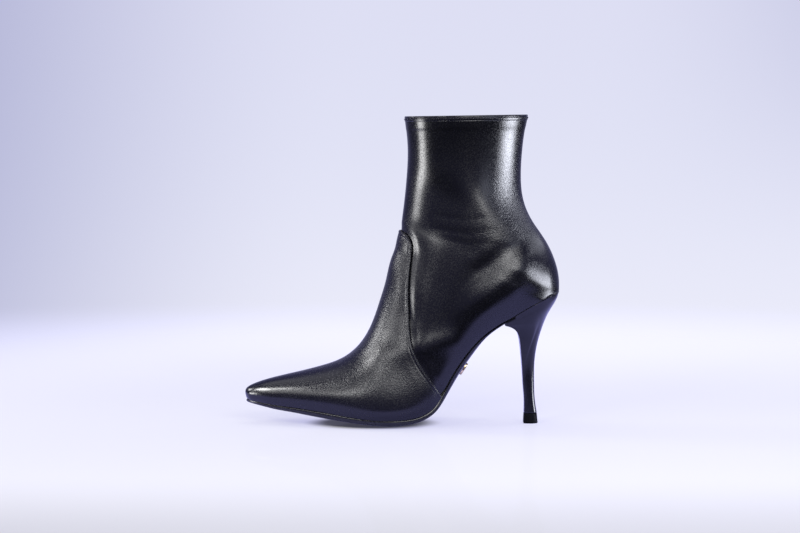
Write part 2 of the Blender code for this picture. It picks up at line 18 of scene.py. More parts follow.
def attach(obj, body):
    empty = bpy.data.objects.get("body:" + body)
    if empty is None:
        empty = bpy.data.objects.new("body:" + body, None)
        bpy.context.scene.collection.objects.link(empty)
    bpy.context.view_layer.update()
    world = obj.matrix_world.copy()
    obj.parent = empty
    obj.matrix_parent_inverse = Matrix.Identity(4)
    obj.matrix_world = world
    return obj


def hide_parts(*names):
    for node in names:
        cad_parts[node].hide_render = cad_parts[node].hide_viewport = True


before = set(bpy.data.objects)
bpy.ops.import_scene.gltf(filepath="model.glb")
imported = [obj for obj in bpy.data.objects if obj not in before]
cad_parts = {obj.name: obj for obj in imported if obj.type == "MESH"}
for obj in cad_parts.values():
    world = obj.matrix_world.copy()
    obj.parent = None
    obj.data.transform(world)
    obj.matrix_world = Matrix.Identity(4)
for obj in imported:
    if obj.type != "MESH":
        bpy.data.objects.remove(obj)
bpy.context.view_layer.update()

MM = 0.001
WELD = 2e-6  # metres within which points join
SHIFT = np.array([0.1, -0.65, 0.0])  # from the tables to the frame

# Sizes shared with the solids
WALL = 2.0
GAP = 0.3
TOE_SWING = 4.0
CREST = 3.0
BALL_X = 0.0
INSOLE_THICKNESS = 2.0
INSOLE_CLEARANCE = 0.5
INSOLE_TOE = 6.5
INSOLE_HEEL = 2.0
SOLE_START = 0.9
SOLE_FLUSH = 0.3
SEAT_FRONT_X = 72.0
TOP_PIECE_HEIGHT = 7.0
PLATE_LENGTH = 9.5
PLATE_WIDTH = 4.6
PLATE_THICKNESS = 1.5
PLATE_X = 39.5
PLATE_Y = -5.0
PLATE_GAP = 0.4
HEEL_WIDEST = 0.55
HEEL_ROUNDING = 2.2
SLOPE_STEP = 0.05
COUNTER_SWELL = 4.4
COUNTER_STEP = 20.0
COUNTER_FULL = 24.0
COUNTER_FOOT = 0.2
COUNTER_FOOT_BACK = 0.45
COUNTER_FRONT = (30.0, 64.0)  # x over which the counter sets in
COUNTER_BACK = (75.0, 100.0)  # x over which its foot grows higher

# Sizes of the finishing
HALF_SAMPLES = 140  # points on each half of a section's side
SOLE_END_X = 72.8  # let into the heel's breast
SOLE_EVEN = 0.6  # share of even spacing along the sole, the rest crowds at its ends
SEAT_INSET = 0.4  # the heel's top edge lies this far inside the upper's
SEAT_SLOPE = 0.45  # how far its side leans in for each millimetre below that
SEAT_KEPT = 0.9  # share of its width that the lean leaves
VAMP_RISE = 1.4  # vamp leather above the quarter
VAMP_EDGE = 0.12  # its height at the edges
VAMP_EDGE_ROUND = 1.0
VAMP_LAST_ROUND = 1.5  # where the vamp turns in above the sole
VAMP_THINNEST = 0.04  # share of its thickness left at the edges
VAMP_PUFF = 0.45  # further rise away from its edges
PUFF_FROM_SEAM = (1.5, 9.0)
PUFF_FROM_LAST = (1.0, 6.0)
CHANNEL_DEPTH = 0.26  # groove that the vamp's stitches lie in
CHANNEL_WIDTH = 0.55
COVER_DEPTH = 0.5  # the quarter sinks this far under the vamp
COVER_RUN = (1.2, 6.0)
COVER_REACH = 6.5
QUARTER_TUCK = 0.9  # the quarter's lower edge turns in this far
QUARTER_TUCK_RUN = 1.5
SEAT_TUCK = 0.15  # the same above the heel
SEAT_TUCK_RUN = (66.0, 78.0)  # x over which the one turns into the other
LINE_STEP = 0.12  # spacing of the points on a line to sew along
STITCH_INSET = 2.1
STITCH_PITCH = 1.75
STITCH_LENGTH = 1.45
STITCH_WIDTH = 0.5
STITCH_RISE = 0.05  # of a stitch's middle above the leather
HEM_DEPTH = 6.6
HEM_RISE = 0.16
HEM_EDGE = 0.35
BINDING_TOP = 2.9
BINDING_LIP = -0.7
BINDING_HALF = 1.42
BINDING_ROUND = 0.55
BINDING_SEAT = 0.05  # room between binding and wall
BINDING_LIP_ROUND = 0.08
BINDING_LIP_RISE = 0.3
BINDING_STITCH = 0.75  # height of its stitches above the wall's edge
BINDING_STITCH_RISE = 0.14
BINDING_STITCH_LEAN = 28.0  # degrees

# Lines of the side view as (x, z)
FRONT = [
    (-110.7, 17.0), (-111.2, 20.4), (-111.1, 22.7), (-108.4, 25.0), (-104.1, 26.9),
    (-91.3, 30.8), (-74.1, 34.8), (-56.8, 39.2), (-43.5, 44.0), (-34.5, 50.0),
    (-25.6, 60.3), (-19.2, 73.2), (-14.2, 87.9), (-10.0, 102.3), (-6.6, 116.8),
    (-4.0, 124.2), (-2.2, 132.0), (-0.3, 145.6), (1.5, 159.9), (2.9, 174.2),
    (3.8, 188.5), (3.7, 200.0), (2.9, 209.0), (2.0, 216.7),
]
BACK = [
    (112.2, 95.1), (112.2, 102.0), (109.0, 117.0), (102.2, 131.3), (92.6, 145.6),
    (86.5, 159.9), (84.6, 178.0), (85.5, 195.6), (87.2, 209.0), (89.0, 218.0),
]
Feather = namedtuple("Feather", "x z outer inner belly sole overhang")
FEATHER = [
    Feather(-110.7, 16.9, 0.0, 0.0, 0.0, 1.6, 1.4),
    Feather(-110.0, 16.8, 2.5, 2.5, 0.0, 1.7, 1.4),
    Feather(-108.2, 16.6, 4.6, 4.6, 0.1, 1.9, 1.4),
    Feather(-100.7, 15.6, 9.3, 9.3, 0.3, 2.3, 1.4),
    Feather(-90.7, 14.1, 13.6, 13.6, 0.6, 2.7, 1.4),
    Feather(-78.7, 13.0, 18.2, 18.2, 1.0, 3.1, 1.4),
    Feather(-64.7, 11.6, 23.2, 23.3, 1.6, 3.7, 1.4),
    Feather(-48.7, 9.5, 28.3, 28.9, 2.2, 3.8, 1.4),
    Feather(-30.7, 7.0, 32.9, 33.6, 2.7, 3.5, 1.4),
    Feather(-14.7, 5.8, 35.2, 34.9, 3.0, 3.5, 1.4),
    Feather(-0.7, 6.1, 35.6, 33.2, 3.0, 3.4, 1.4),
    Feather(12.5, 8.5, 33.6, 30.0, 2.2, 3.1, 1.3),
    Feather(21.0, 13.5, 30.8, 27.0, 1.2, 2.9, 1.1),
    Feather(28.0, 22.8, 27.7, 24.8, 0.6, 2.8, 0.6),
    Feather(39.3, 41.9, 25.0, 23.2, 0.7, 3.1, 0.3),
    Feather(49.2, 55.3, 24.0, 22.7, 0.5, 2.7, 0.3),
    Feather(59.8, 65.7, 23.6, 22.9, 0.1, 1.2, 0.3),
    Feather(71.0, 73.4, 23.8, 23.5, 0.0, 0.8, 0.3),
    Feather(80.0, 79.0, 24.1, 24.1, 0.0, 0.8, 0.3),
    Feather(90.0, 85.0, 24.0, 24.0, 0.0, 0.8, 0.3),
    Feather(99.0, 89.6, 21.7, 21.7, 0.0, 0.8, 0.3),
    Feather(106.5, 92.9, 16.2, 16.2, 0.0, 0.8, 0.3),
    Feather(110.8, 94.6, 8.6, 8.6, 0.0, 0.8, 0.3),
    Feather(112.2, 95.1, 0.0, 0.0, 0.0, 0.8, 0.3),
]
Section = namedtuple("Section", "front foot back outer inner widest crown flank")
SECTIONS = [
    Section(17.0, -108.6, None, 4.4, 4.4, 0.05, 2.0, 2.0),
    Section(20.2, -106.4, None, 6.3, 6.3, 0.12, 2.0, 2.0),
    Section(23.6, -103.6, None, 8.3, 8.3, 0.20, 2.1, 2.0),
    Section(26.2, -98.6, None, 11.3, 11.3, 0.27, 2.15, 2.0),
    Section(30.8, -86.0, None, 17.0, 17.0, 0.32, 2.15, 2.0),
    Section(34.8, -68.5, None, 23.8, 23.9, 0.31, 2.1, 2.0),
    Section(39.2, -49.0, None, 30.6, 31.2, 0.28, 2.1, 2.0),
    Section(44.0, -32.0, None, 35.6, 36.0, 0.22, 2.2, 2.0),
    Section(52.0, -16.0, None, 38.3, 38.1, 0.16, 2.25, 2.0),
    Section(63.0, -1.5, None, 38.7, 37.2, 0.15, 2.2, 2.0),
    Section(78.0, 12.5, None, 37.5, 35.6, 0.17, 2.05, 2.2),
    Section(95.0, 27.5, None, 35.0, 33.8, 0.31, 1.88, 3.0),
    Section(112.0, 44.5, None, 33.4, 32.8, 0.39, 1.9, 2.8),
    Section(127.0, 64.0, None, 32.8, 32.6, 0.43, 1.95, 2.8),
    Section(138.2, 84.0, None, 32.8, 32.7, 0.45, 2.0, 2.7),
    Section(146.0, 102.0, None, 33.0, 33.0, 0.46, 2.0, 2.3),
    Section(153.0, None, 95.1, 33.2, 33.2, 0.46, 2.0, 2.05),
    Section(164.0, None, 110.0, 33.0, 33.0, 0.47, 2.0, 1.95),
    Section(176.0, None, 129.0, 32.2, 32.2, 0.48, 2.0, 1.82),
    Section(188.0, None, 152.0, 31.6, 31.6, 0.50, 2.0, 1.75),
    Section(199.0, None, 180.0, 32.0, 32.0, 0.50, 2.05, 1.75),
    Section(209.0, None, 203.0, 33.3, 33.3, 0.50, 2.1, 1.78),
    Section(216.7, None, 218.0, 34.6, 34.6, 0.50, 2.1, 1.8),
]
SEAM = [
    (27.6, 22.0), (20.0, 33.7), (14.0, 42.5), (9.4, 51.2), (6.5, 61.3),
    (4.2, 80.0), (3.7, 95.0), (4.6, 111.5), (6.0, 124.0), (6.1, 130.0),
    (4.6, 134.0), (1.6, 136.6),
]
COUNTER_LINE = [(37.0, 90.0), (97.0, 131.0)]
Heel = namedtuple("Heel", "front_x front_z back_x back_z half breast")
HEEL = [
    Heel(72.2, 71.9, 111.4, 91.9, 24.0, 23.0),
    Heel(76.0, 70.7, 109.4, 87.6, 22.4, 20.6),
    Heel(80.0, 68.3, 106.6, 83.0, 19.6, 17.0),
    Heel(82.7, 64.1, 103.8, 78.0, 16.0, 13.2),
    Heel(84.1, 57.8, 100.7, 70.4, 12.0, 9.6),
    Heel(85.0, 48.8, 97.1, 58.6, 8.5, 6.8),
    Heel(85.8, 39.0, 94.9, 45.0, 6.1, 4.9),
    Heel(86.5, 27.0, 94.6, 30.0, 5.1, 4.1),
    Heel(87.3, 16.0, 95.2, 16.6, 5.1, 4.0),
    Heel(87.2, TOP_PIECE_HEIGHT + GAP, 96.6, TOP_PIECE_HEIGHT + GAP, 5.5, 4.3),
]
TOP_PIECE = [
    Heel(87.2, TOP_PIECE_HEIGHT, 96.6, TOP_PIECE_HEIGHT, 5.5, 4.3),
    Heel(86.9, 0.0, 97.3, 0.0, 5.9, 4.6),
]

# Creases of the leather as lines seen from the side: height (a trough is below zero), half width,
# and the line's points. The first two are the ankle's fold, the third the trough along the seam.
Crease = namedtuple("Crease", "height width line")
CREASES = [
    Crease(0.26, 4.5, [(50.0, 119.5), (56.0, 123.5), (67.5, 132.5), (80.0, 135.5)]),
    Crease(-0.26, 4.5, [(53.0, 111.8), (61.0, 116.5), (70.5, 124.5), (80.0, 127.0)]),
    Crease(-1.1, 8.0, [(4.2, 80.0), (3.7, 95.0), (4.6, 111.5), (5.8, 122.0)]),
    Crease(0.3, 2.4, [(70.5, 138.5), (79.0, 144.0)]),
    Crease(0.3, 7.0, [(10.0, 57.0), (31.0, 62.0)]),
    Crease(1.0, 8.0, [(-14.0, 52.0), (0.0, 53.0), (12.0, 57.0), (31.0, 62.0)]),
    Crease(-0.10, 1.8, [(24.0, 150.0), (44.0, 147.0), (62.0, 149.0)]),
    Crease(-0.12, 2.0, [(22.0, 141.0), (45.0, 137.5), (66.0, 140.0)]),
    Crease(-0.09, 1.8, [(30.0, 133.0), (50.0, 130.0), (64.0, 131.0)]),
]


# Curves through table rows


def cubic(knots, values):
    """A smooth cubic through the values at the knots, as a function of the knot distance."""
    knots = np.asarray(knots, float)
    values = np.asarray(values, float)
    step = np.diff(knots)
    rise = np.diff(values, axis=0) / step[:, None]
    count = len(knots)
    system = np.eye(count)
    right = np.zeros_like(values)
    for i in range(1, count - 1):
        system[i, i - 1 : i + 2] = step[i - 1], 2 * (step[i - 1] + step[i]), step[i]
        right[i] = 6 * (rise[i] - rise[i - 1])
    bend = np.linalg.solve(system, right)

    def at(distance):
        distance = np.atleast_1d(np.asarray(distance, float))
        i = np.clip(np.searchsorted(knots, distance) - 1, 0, count - 2)
        h = step[i][:, None]
        near = (distance - knots[i])[:, None]
        far = h - near
        cubes = bend[i] * far**3 + bend[i + 1] * near**3
        low = values[i] / h - bend[i] * h / 6
        high = values[i + 1] / h - bend[i + 1] * h / 6
        return cubes / (6 * h) + (low * far + high * near)

    return at


def chord_knots(points):
    return np.concatenate([[0.0], np.cumsum(np.linalg.norm(np.diff(points, axis=0), axis=1))])


class Rail:
    """A smooth curve through the rows of a table, read by the distance along it."""

    def __init__(self, rows, mirrored=False):
        values = np.array(rows, float)
        lengths = values[:, :3] if mirrored else values
        knots = chord_knots(lengths)
        self.length = knots[-1]
        if mirrored:
            turned = values * np.array([1, 1, -1, -1, 1, 1, 1])
            values = np.vstack([turned[2:0:-1], values, turned[-2:-4:-1]])
            knots = np.concatenate([-knots[2:0:-1], knots, 2 * knots[-1] - knots[-2:-4:-1]])
        self.at = cubic(knots, values)

    def distance(self, column, value):
        """The distance where a column that only rises has this value."""
        fine = np.linspace(0, self.length, 2000)
        return float(np.interp(value, self.at(fine)[:, column], fine))


front_rail = Rail(FRONT)
back_rail = Rail(BACK)
feather_rail = Rail(FEATHER, mirrored=True)
seam_rail = Rail(SEAM)


def section_rows():
    """Each section as distances along the front and along the base, then its other columns."""
    rows = []
    for s in SECTIONS:
        if s.foot is None:
            base = feather_rail.length + back_rail.distance(1, s.back)
        else:
            base = feather_rail.distance(0, s.foot)
        rise = front_rail.distance(1, s.front)
        rows.append([rise, base, s.outer, s.inner, s.widest, s.crown, s.flank])
    return np.array(rows)


section_table = section_rows()
section_knots = section_table[:, :2].mean(axis=1)
section_knots = section_knots - section_knots[0]
section_at = cubic(section_knots, section_table)
SECTION_END = section_knots[-1]
FIRST_CLOSED = next(i for i, s in enumerate(SECTIONS) if s.back is not None)
HEEL_CLOSE = section_knots[FIRST_CLOSED]
CREST_RUN = front_rail.distance(1, SECTIONS[FIRST_CLOSED].front)


# The last's own surface


def swing(x):
    """Sideways lean of the foot's middle line towards the inner side."""
    ahead = max(0.0, (BALL_X - x) / (BALL_X - FEATHER[0].x))
    return TOE_SWING * ahead**2


def base_point(distance):
    """x, z and the two half widths on the feather line, or on the back profile beyond it."""
    if distance < feather_rail.length:
        x, z, outer, inner = feather_rail.at(distance)[0][:4]
        return x, z, max(outer, 0.0), max(inner, 0.0)
    x, z = back_rail.at(distance - feather_rail.length)[0]
    return x, z, 0.0, 0.0


def half_section(length, foot, half, widest, crown, flank):
    """Points (along, out) of one side of a section, from its foot up to the front profile."""
    half = max(half, foot * 1.004 + 0.02)
    below = widest * length
    reach = (1 - (foot / half) ** flank) ** (1 / flank)
    start = math.asin(min(1.0, reach))
    turn = np.linspace(start, 0, HALF_SAMPLES)
    low_along = below * (1 - np.sin(turn) / max(math.sin(start), 1e-6))
    low_out = half * (1 - np.clip(reach * np.sin(turn) / math.sin(start), 0, 1) ** flank) ** (1 / flank)
    over = np.linspace(0, math.pi / 2, HALF_SAMPLES)
    high_along = below + (length - below) * np.sin(over) ** (2 / crown)
    high_out = half * np.cos(over) ** (2 / crown)
    along = np.concatenate([low_along, high_along[1:]])
    out = np.concatenate([low_out, high_out[1:]])
    return np.column_stack([along, out])


def smooth_step(low, high, value):
    share = np.clip((value - low) / (high - low), 0, 1)
    return share * share * (3 - 2 * share)


def counter_swell(points, out, share):
    """How far the stiff heel counter stands out from the softer ankle above it."""
    start, end = np.array(COUNTER_LINE)
    run = (end - start) / np.linalg.norm(end - start)
    x, z = points[:, 0], points[:, 2]
    above = (z - start[1]) * run[0] - (x - start[0]) * run[1]
    step = 1 - smooth_step(-COUNTER_STEP / 2, COUNTER_STEP / 2, above)
    front = smooth_step(*COUNTER_FRONT, x)
    reach = COUNTER_FOOT + (COUNTER_FOOT_BACK - COUNTER_FOOT) * smooth_step(*COUNTER_BACK, x)
    foot = smooth_step(0, reach, share)
    return COUNTER_SWELL * step * front * foot * np.minimum(1, out / COUNTER_FULL)


def section_curve(place):
    """The two sides of the section at this place, each as points with their distance from the foot."""
    rise, base, outer, inner, widest, crown, flank = section_at(place)[0]
    x0, z0, foot_outer, foot_inner = base_point(base)
    x1, z1 = front_rail.at(rise)[0]
    length = math.hypot(x1 - x0, z1 - z0)
    crest = CREST * math.sin(math.pi * min(1.0, rise / CREST_RUN)) ** 2
    sides = []
    for sign, foot, half in ((-1, foot_outer, outer), (1, foot_inner, inner)):
        flat = half_section(length, foot, half, widest, crown, flank)
        share = flat[:, :1] / length
        middle = swing(x0) * (1 - share) + (swing(x1) + crest) * share
        points = np.hstack([x0 + (x1 - x0) * share, middle + sign * flat[:, 1:], z0 + (z1 - z0) * share])
        points[:, 1] += sign * counter_swell(points, flat[:, 1], share[:, 0])
        sides.append((points, chord_knots(points)))
    return sides


def on_side(side, distances):
    points, knots = side
    return np.column_stack([np.interp(distances, knots, points[:, k]) for k in range(3)])


EDGE_STEPS = np.array([0.0, 0.15, 0.33, 0.55, 0.8, 1.1, 1.45, 1.85, 2.35, 3.0])


def edged(start, end, count):
    """Places from start to end, crowded beside the start so that a rounded edge has its points."""
    squeeze = min(1.0, (end - start) / (3 * EDGE_STEPS[-1]))
    near = start + squeeze * EDGE_STEPS
    return np.concatenate([near, np.linspace(near[-1], end, count)[1:]])


def section_row(place, count):
    """Points of a section from its outer foot over the front to its inner foot."""
    outer, inner = section_curve(place)
    first = on_side(outer, edged(0.0, outer[1][-1], count))
    second = on_side(inner, edged(0.0, inner[1][-1], count))
    return np.vstack([first, second[-2::-1]])


# Making pieces


def to_metres(point):
    return Vector((np.asarray(point) + SHIFT) * MM)


def sheet(rows):
    """An open sheet through rows of points, its faces outward, closed where its edges meet."""
    rows = np.asarray(rows)
    high, wide = rows.shape[0] - 1, rows.shape[1] - 1
    bm = bmesh.new()
    bmesh.ops.create_grid(bm, x_segments=wide, y_segments=high, size=0.5)
    for vert in bm.verts:
        column = round((vert.co.x + 0.5) * wide)
        row = round((vert.co.y + 0.5) * high)
        vert.co = to_metres(rows[row, column])
    bmesh.ops.remove_doubles(bm, verts=bm.verts, dist=WELD)
    return bm


def lift_sheet(bm, height_at):
    """Moves each point along its normal by a height in millimetres."""
    bm.normal_update()
    moves = [(vert, vert.normal * (height_at(vert.co) * MM)) for vert in bm.verts]
    for vert, move in moves:
        vert.co += move


def tree_of(points):
    tree = KDTree(len(points))
    for k, point in enumerate(points):
        tree.insert(to_metres(point), k)
    tree.balance()
    return tree


def nearness(tree, place):
    return tree.find(place)[2] / MM


def rounded(distance, radius):
    """0 at an edge, 1 from a radius on, as a quarter circle."""
    share = min(1.0, distance / radius)
    return math.sqrt(max(0.0, 1 - (1 - share) ** 2))


def bell(distance, width):
    return math.exp(-((distance / width) ** 2))


def mesh_of(name, bm):
    mesh = bpy.data.meshes.new(name)
    bm.to_mesh(mesh)
    bm.free()
    return mesh


def new_object(name, data):
    made = bpy.data.objects.new(name, data)
    bpy.context.scene.collection.objects.link(made)
    return made


def piece(name, bm, finishes, stands_for=None, angle=50):
    mesh = mesh_of(name, bm)
    for finish in finishes:
        mesh.materials.append(finish)
    mesh.shade_smooth()
    mesh.set_sharp_from_angle(angle=math.radians(angle))
    made = new_object(name, mesh)
    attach(made, "root")
    if stands_for:
        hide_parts(stands_for)
    return made


def ring_solid(loops):
    """A closed solid through loops of as many points each, its two ends filled."""
    closed = [np.vstack([loop, loop[:1]]) for loop in loops]
    bm = sheet(closed)
    ends = [edge for edge in bm.edges if edge.is_boundary]
    bmesh.ops.holes_fill(bm, edges=ends, sides=0)
    bmesh.ops.recalc_face_normals(bm, faces=bm.faces)
    return bm


# Upper


UPPER_OPEN_ROWS = 130
UPPER_CLOSED_ROWS = 76
UPPER_SIDE = 62
EASED_ROWS = 9  # rows on each side of the heel's top that are evened out
EASED_TURNS = 14
EASED_EDGE = 12  # columns over which the evening of rows sets in


def crease_heights(places):
    """Rise of the leather at side-view places, summed over the creases."""
    total = np.zeros(len(places))
    for crease in CREASES:
        gaps = []
        line = np.array(crease.line)
        for a, b in zip(line, line[1:]):
            run = b - a
            share = np.clip((places - a) @ run / np.dot(run, run), 0, 1)
            gaps.append(np.linalg.norm(places - a - share[:, None] * run, axis=1))
        total += crease.height * np.exp(-((np.min(gaps, axis=0) / crease.width) ** 2))
    return total


def eased_rows(rows, middle, reach, turns):
    """The rows with those around the middle one evened out, but for their edges."""
    rows = np.array(rows)
    columns = np.arange(rows.shape[1])
    inside = np.minimum(1, np.minimum(columns, columns[::-1]) / EASED_EDGE)[:, None]
    for _ in range(turns):
        inner = slice(middle - reach, middle + reach + 1)
        before = rows[middle - reach - 1 : middle + reach]
        after = rows[middle - reach + 1 : middle + reach + 2]
        even = (before + 2 * rows[inner] + after) / 4
        rows[inner] += inside * (even - rows[inner])
    return rows


def make_upper(leather, lining, vamp_surface):
    places = [
        *np.linspace(0, HEEL_CLOSE, UPPER_OPEN_ROWS + 1),
        *np.linspace(HEEL_CLOSE, SECTION_END, UPPER_CLOSED_ROWS + 1)[1:],
    ]
    rows = [section_row(place, UPPER_SIDE) for place in places]
    rows = eased_rows(rows, UPPER_OPEN_ROWS, EASED_ROWS, EASED_TURNS)
    foot_tree = tree_of([row[k] for row in rows[: UPPER_OPEN_ROWS + 1] for k in (0, -1)])
    collar_tree = tree_of(rows[-1])
    bm = sheet(rows)
    bmesh.ops.reverse_faces(bm, faces=bm.faces)
    spots = np.array([vert.co for vert in bm.verts]) / MM - SHIFT
    creases = iter(crease_heights(spots[:, [0, 2]]))

    def height_at(place):
        foot = nearness(foot_tree, place)
        collar = nearness(collar_tree, place)
        behind = smooth_step(*SEAT_TUCK_RUN, place.x / MM)
        deep = QUARTER_TUCK - (QUARTER_TUCK - SEAT_TUCK) * behind
        tuck = -deep * (1 - rounded(foot, QUARTER_TUCK_RUN))
        hem = HEM_RISE / (1 + math.exp((collar - HEM_DEPTH) / HEM_EDGE))
        gap = vamp_surface.find_nearest(place, COVER_REACH * MM)[3]
        cover = 0.0 if gap is None else -COVER_DEPTH * (1 - smooth_step(*COVER_RUN, gap / MM))
        return tuck + hem + cover + next(creases)

    lift_sheet(bm, height_at)
    made = piece("upper_leather", bm, [leather, lining], "upper")
    wall = made.modifiers.new("wall", "SOLIDIFY")
    wall.thickness = WALL * MM
    wall.offset = -1
    wall.material_offset = 1
    wall.material_offset_rim = 1


# Vamp


VAMP_LAST_ROWS = 90
VAMP_SEAM_ROWS = 100
VAMP_SIDE = 46
VAMP_SPAN = 80.0  # length that a row's points are spaced for
VAMP_FOOT = 0.002  # share up the side where it starts above the sole
SEAM_FROM = 5  # section ahead of the whole seam
HALVINGS = 40
VAMP_LEAN = 58.0  # height on the front that the row from the seam's foot runs to


def row_through(point):
    """The section whose chord passes a point of the side view, and the shares along its sides."""
    low, high = section_knots[SEAM_FROM], HEEL_CLOSE
    for _ in range(HALVINGS):
        middle = (low + high) / 2
        sides = section_curve(middle)
        foot, top = sides[0][0][[0, -1]][:, [0, 2]]
        run = top - foot
        if run[0] * (point[1] - foot[1]) - run[1] * (point[0] - foot[0]) < 0:
            low = middle
        else:
            high = middle
    up = np.dot(np.array(point) - foot, run) / np.dot(run, run)
    shares = []
    for points, knots in sides:
        ups = (points[:, [0, 2]] - foot) @ run / np.dot(run, run)
        shares.append(float(np.interp(up, ups, knots / knots[-1])))
    return middle, *shares


def front_place(height):
    """The section that meets the front profile at this height."""
    fine = np.linspace(0, SECTION_END, 4000)
    return float(np.interp(front_rail.distance(1, height), section_at(fine)[:, 0], fine))


TABLE_PLACES = np.linspace(0, HEEL_CLOSE, 640)
TABLE_SHARES = np.linspace(0, 1, 241)


def surface_tables():
    """Points of the last's two sides, for places along the sections and shares from foot to front."""
    tables = ([], [])
    for place in TABLE_PLACES:
        for table, line in zip(tables, section_curve(place)):
            table.append(on_side(line, TABLE_SHARES * line[1][-1]))
    return [np.array(table) for table in tables]


def read_table(table, places, shares):
    """Points between those of a surface table."""
    row = np.interp(places, TABLE_PLACES, np.arange(len(TABLE_PLACES)))
    column = np.interp(shares, TABLE_SHARES, np.arange(len(TABLE_SHARES)))
    i = np.minimum(row.astype(int), len(TABLE_PLACES) - 2)
    j = np.minimum(column.astype(int), len(TABLE_SHARES) - 2)
    u = (row - i)[:, None]
    v = (column - j)[:, None]
    near = (1 - v) * table[i, j] + v * table[i, j + 1]
    far = (1 - v) * table[i + 1, j] + v * table[i + 1, j + 1]
    return (1 - u) * near + u * far


def vamp_rows():
    """Rows of points from the vamp's outer edge over the front to its inner edge."""
    distances = (seam_rail.length - edged(0.0, seam_rail.length, VAMP_SEAM_ROWS))[::-1]
    edge = np.array([row_through(point) for point in seam_rail.at(distances)])
    lean = front_place(VAMP_LEAN)
    last = np.linspace(0, 1, VAMP_LAST_ROWS + 1)[:-1]
    starts = np.vstack([[(share * edge[0, 0], VAMP_FOOT, VAMP_FOOT) for share in last], edge])
    ends = np.concatenate([last * lean, lean + (edge[-1, 0] - lean) * distances / seam_rail.length])
    along = edged(0.0, VAMP_SPAN, VAMP_SIDE) / VAMP_SPAN
    tables = surface_tables()
    rows = []
    for (place, *shares), front in zip(starts, ends):
        places = place + (front - place) * along
        outer, inner = (read_table(t, places, s + (1 - s) * along) for t, s in zip(tables, shares))
        rows.append(np.vstack([outer, inner[-2::-1]]))
    return rows


def make_vamp(leather):
    rows = vamp_rows()
    seam_from = VAMP_LAST_ROWS
    outer_edge = [row[0] for row in rows[seam_from:]]
    inner_edge = [row[-1] for row in rows[seam_from:]]
    seam_line = [*outer_edge, *rows[-1][1:-1], *reversed(inner_edge)]
    last_line = [row[k] for row in rows[:seam_from] for k in (0, -1)] + list(rows[0])
    seam_tree = tree_of(dense_line(seam_line))
    last_tree = tree_of(last_line)
    bm = sheet(rows)
    bmesh.ops.reverse_faces(bm, faces=bm.faces)

    def height_at(place):
        seam = nearness(seam_tree, place)
        last = nearness(last_tree, place)
        edges = rounded(seam, VAMP_EDGE_ROUND) * rounded(last, VAMP_LAST_ROUND)
        body = VAMP_EDGE + (VAMP_RISE - VAMP_EDGE) * edges
        channel = -CHANNEL_DEPTH * bell(seam - STITCH_INSET, CHANNEL_WIDTH)
        puff = VAMP_PUFF * smooth_step(*PUFF_FROM_SEAM, seam) * smooth_step(*PUFF_FROM_LAST, last)
        return body + channel + puff

    heights = [height_at(vert.co) for vert in bm.verts]
    spots = np.array([vert.co for vert in bm.verts]) / MM - SHIFT
    lifts = iter(heights + crease_heights(spots[:, [0, 2]]))
    lift_sheet(bm, lambda place: next(lifts))
    surface = BVHTree.FromBMesh(bm)
    made = piece("vamp_leather", bm, [leather], "vamp")
    group = made.vertex_groups.new(name="leather_depth")
    for index, height in enumerate(heights):
        group.add([index], max(VAMP_THINNEST, (height - VAMP_EDGE / 2) / VAMP_RISE), "REPLACE")
    depth = made.modifiers.new("leather", "SOLIDIFY")
    depth.thickness = VAMP_RISE * MM
    depth.offset = -1
    depth.vertex_group = group.name
    return seam_line, surface


def dense_line(points):
    """The line through points, filled in at an even step."""
    points = np.asarray(points)
    knots = chord_knots(points)
    even = np.linspace(0, knots[-1], int(knots[-1] / LINE_STEP) + 2)
    return np.column_stack([np.interp(even, knots, points[:, k]) for k in range(3)])


def sew(name, line, surface, thread, inset, rise, lean=0.0):
    """A row of stitches beside a line, laid on a surface and leaning from it by an angle."""
    path = []
    for k in range(1, len(line) - 1):
        place = to_metres(line[k])
        _, normal, _, _ = surface.find_nearest(place)
        along = (to_metres(line[k + 1]) - to_metres(line[k - 1])).normalized()
        inward = along.cross(normal).normalized()
        spot, normal, _, _ = surface.find_nearest(place + inward * inset * MM)
        path.append((spot, normal))
    spots = np.array([spot for spot, _ in path])
    knots = chord_knots(spots) / MM
    count = int(knots[-1] / STITCH_PITCH)
    bm = bmesh.new()
    for k in range(count):
        ends = []
        for distance in (k * STITCH_PITCH, k * STITCH_PITCH + STITCH_LENGTH):
            ends.append(Vector([np.interp(distance, knots, spots[:, axis]) for axis in range(3)]))
        middle = (ends[0] + ends[1]) / 2
        _, normal, _, _ = surface.find_nearest(middle)
        along = (ends[1] - ends[0]).normalized()
        aside = normal.cross(along).normalized()
        up = along.cross(aside).normalized()
        lay = Matrix((along, aside, up)).transposed().to_4x4()
        turn = lay @ Matrix.Rotation(math.radians(lean), 4, "Z")
        thick = STITCH_WIDTH / 2 * MM
        size = Matrix.Diagonal((STITCH_LENGTH / 2 * MM, thick, thick, 1))
        place = Matrix.Translation(middle + up * rise * MM)
        bmesh.ops.create_uvsphere(bm, u_segments=8, v_segments=6, radius=1.0, matrix=place @ turn @ size)
    piece(name, bm, [thread], angle=80)


# Collar


COLLAR_SIDE = 96


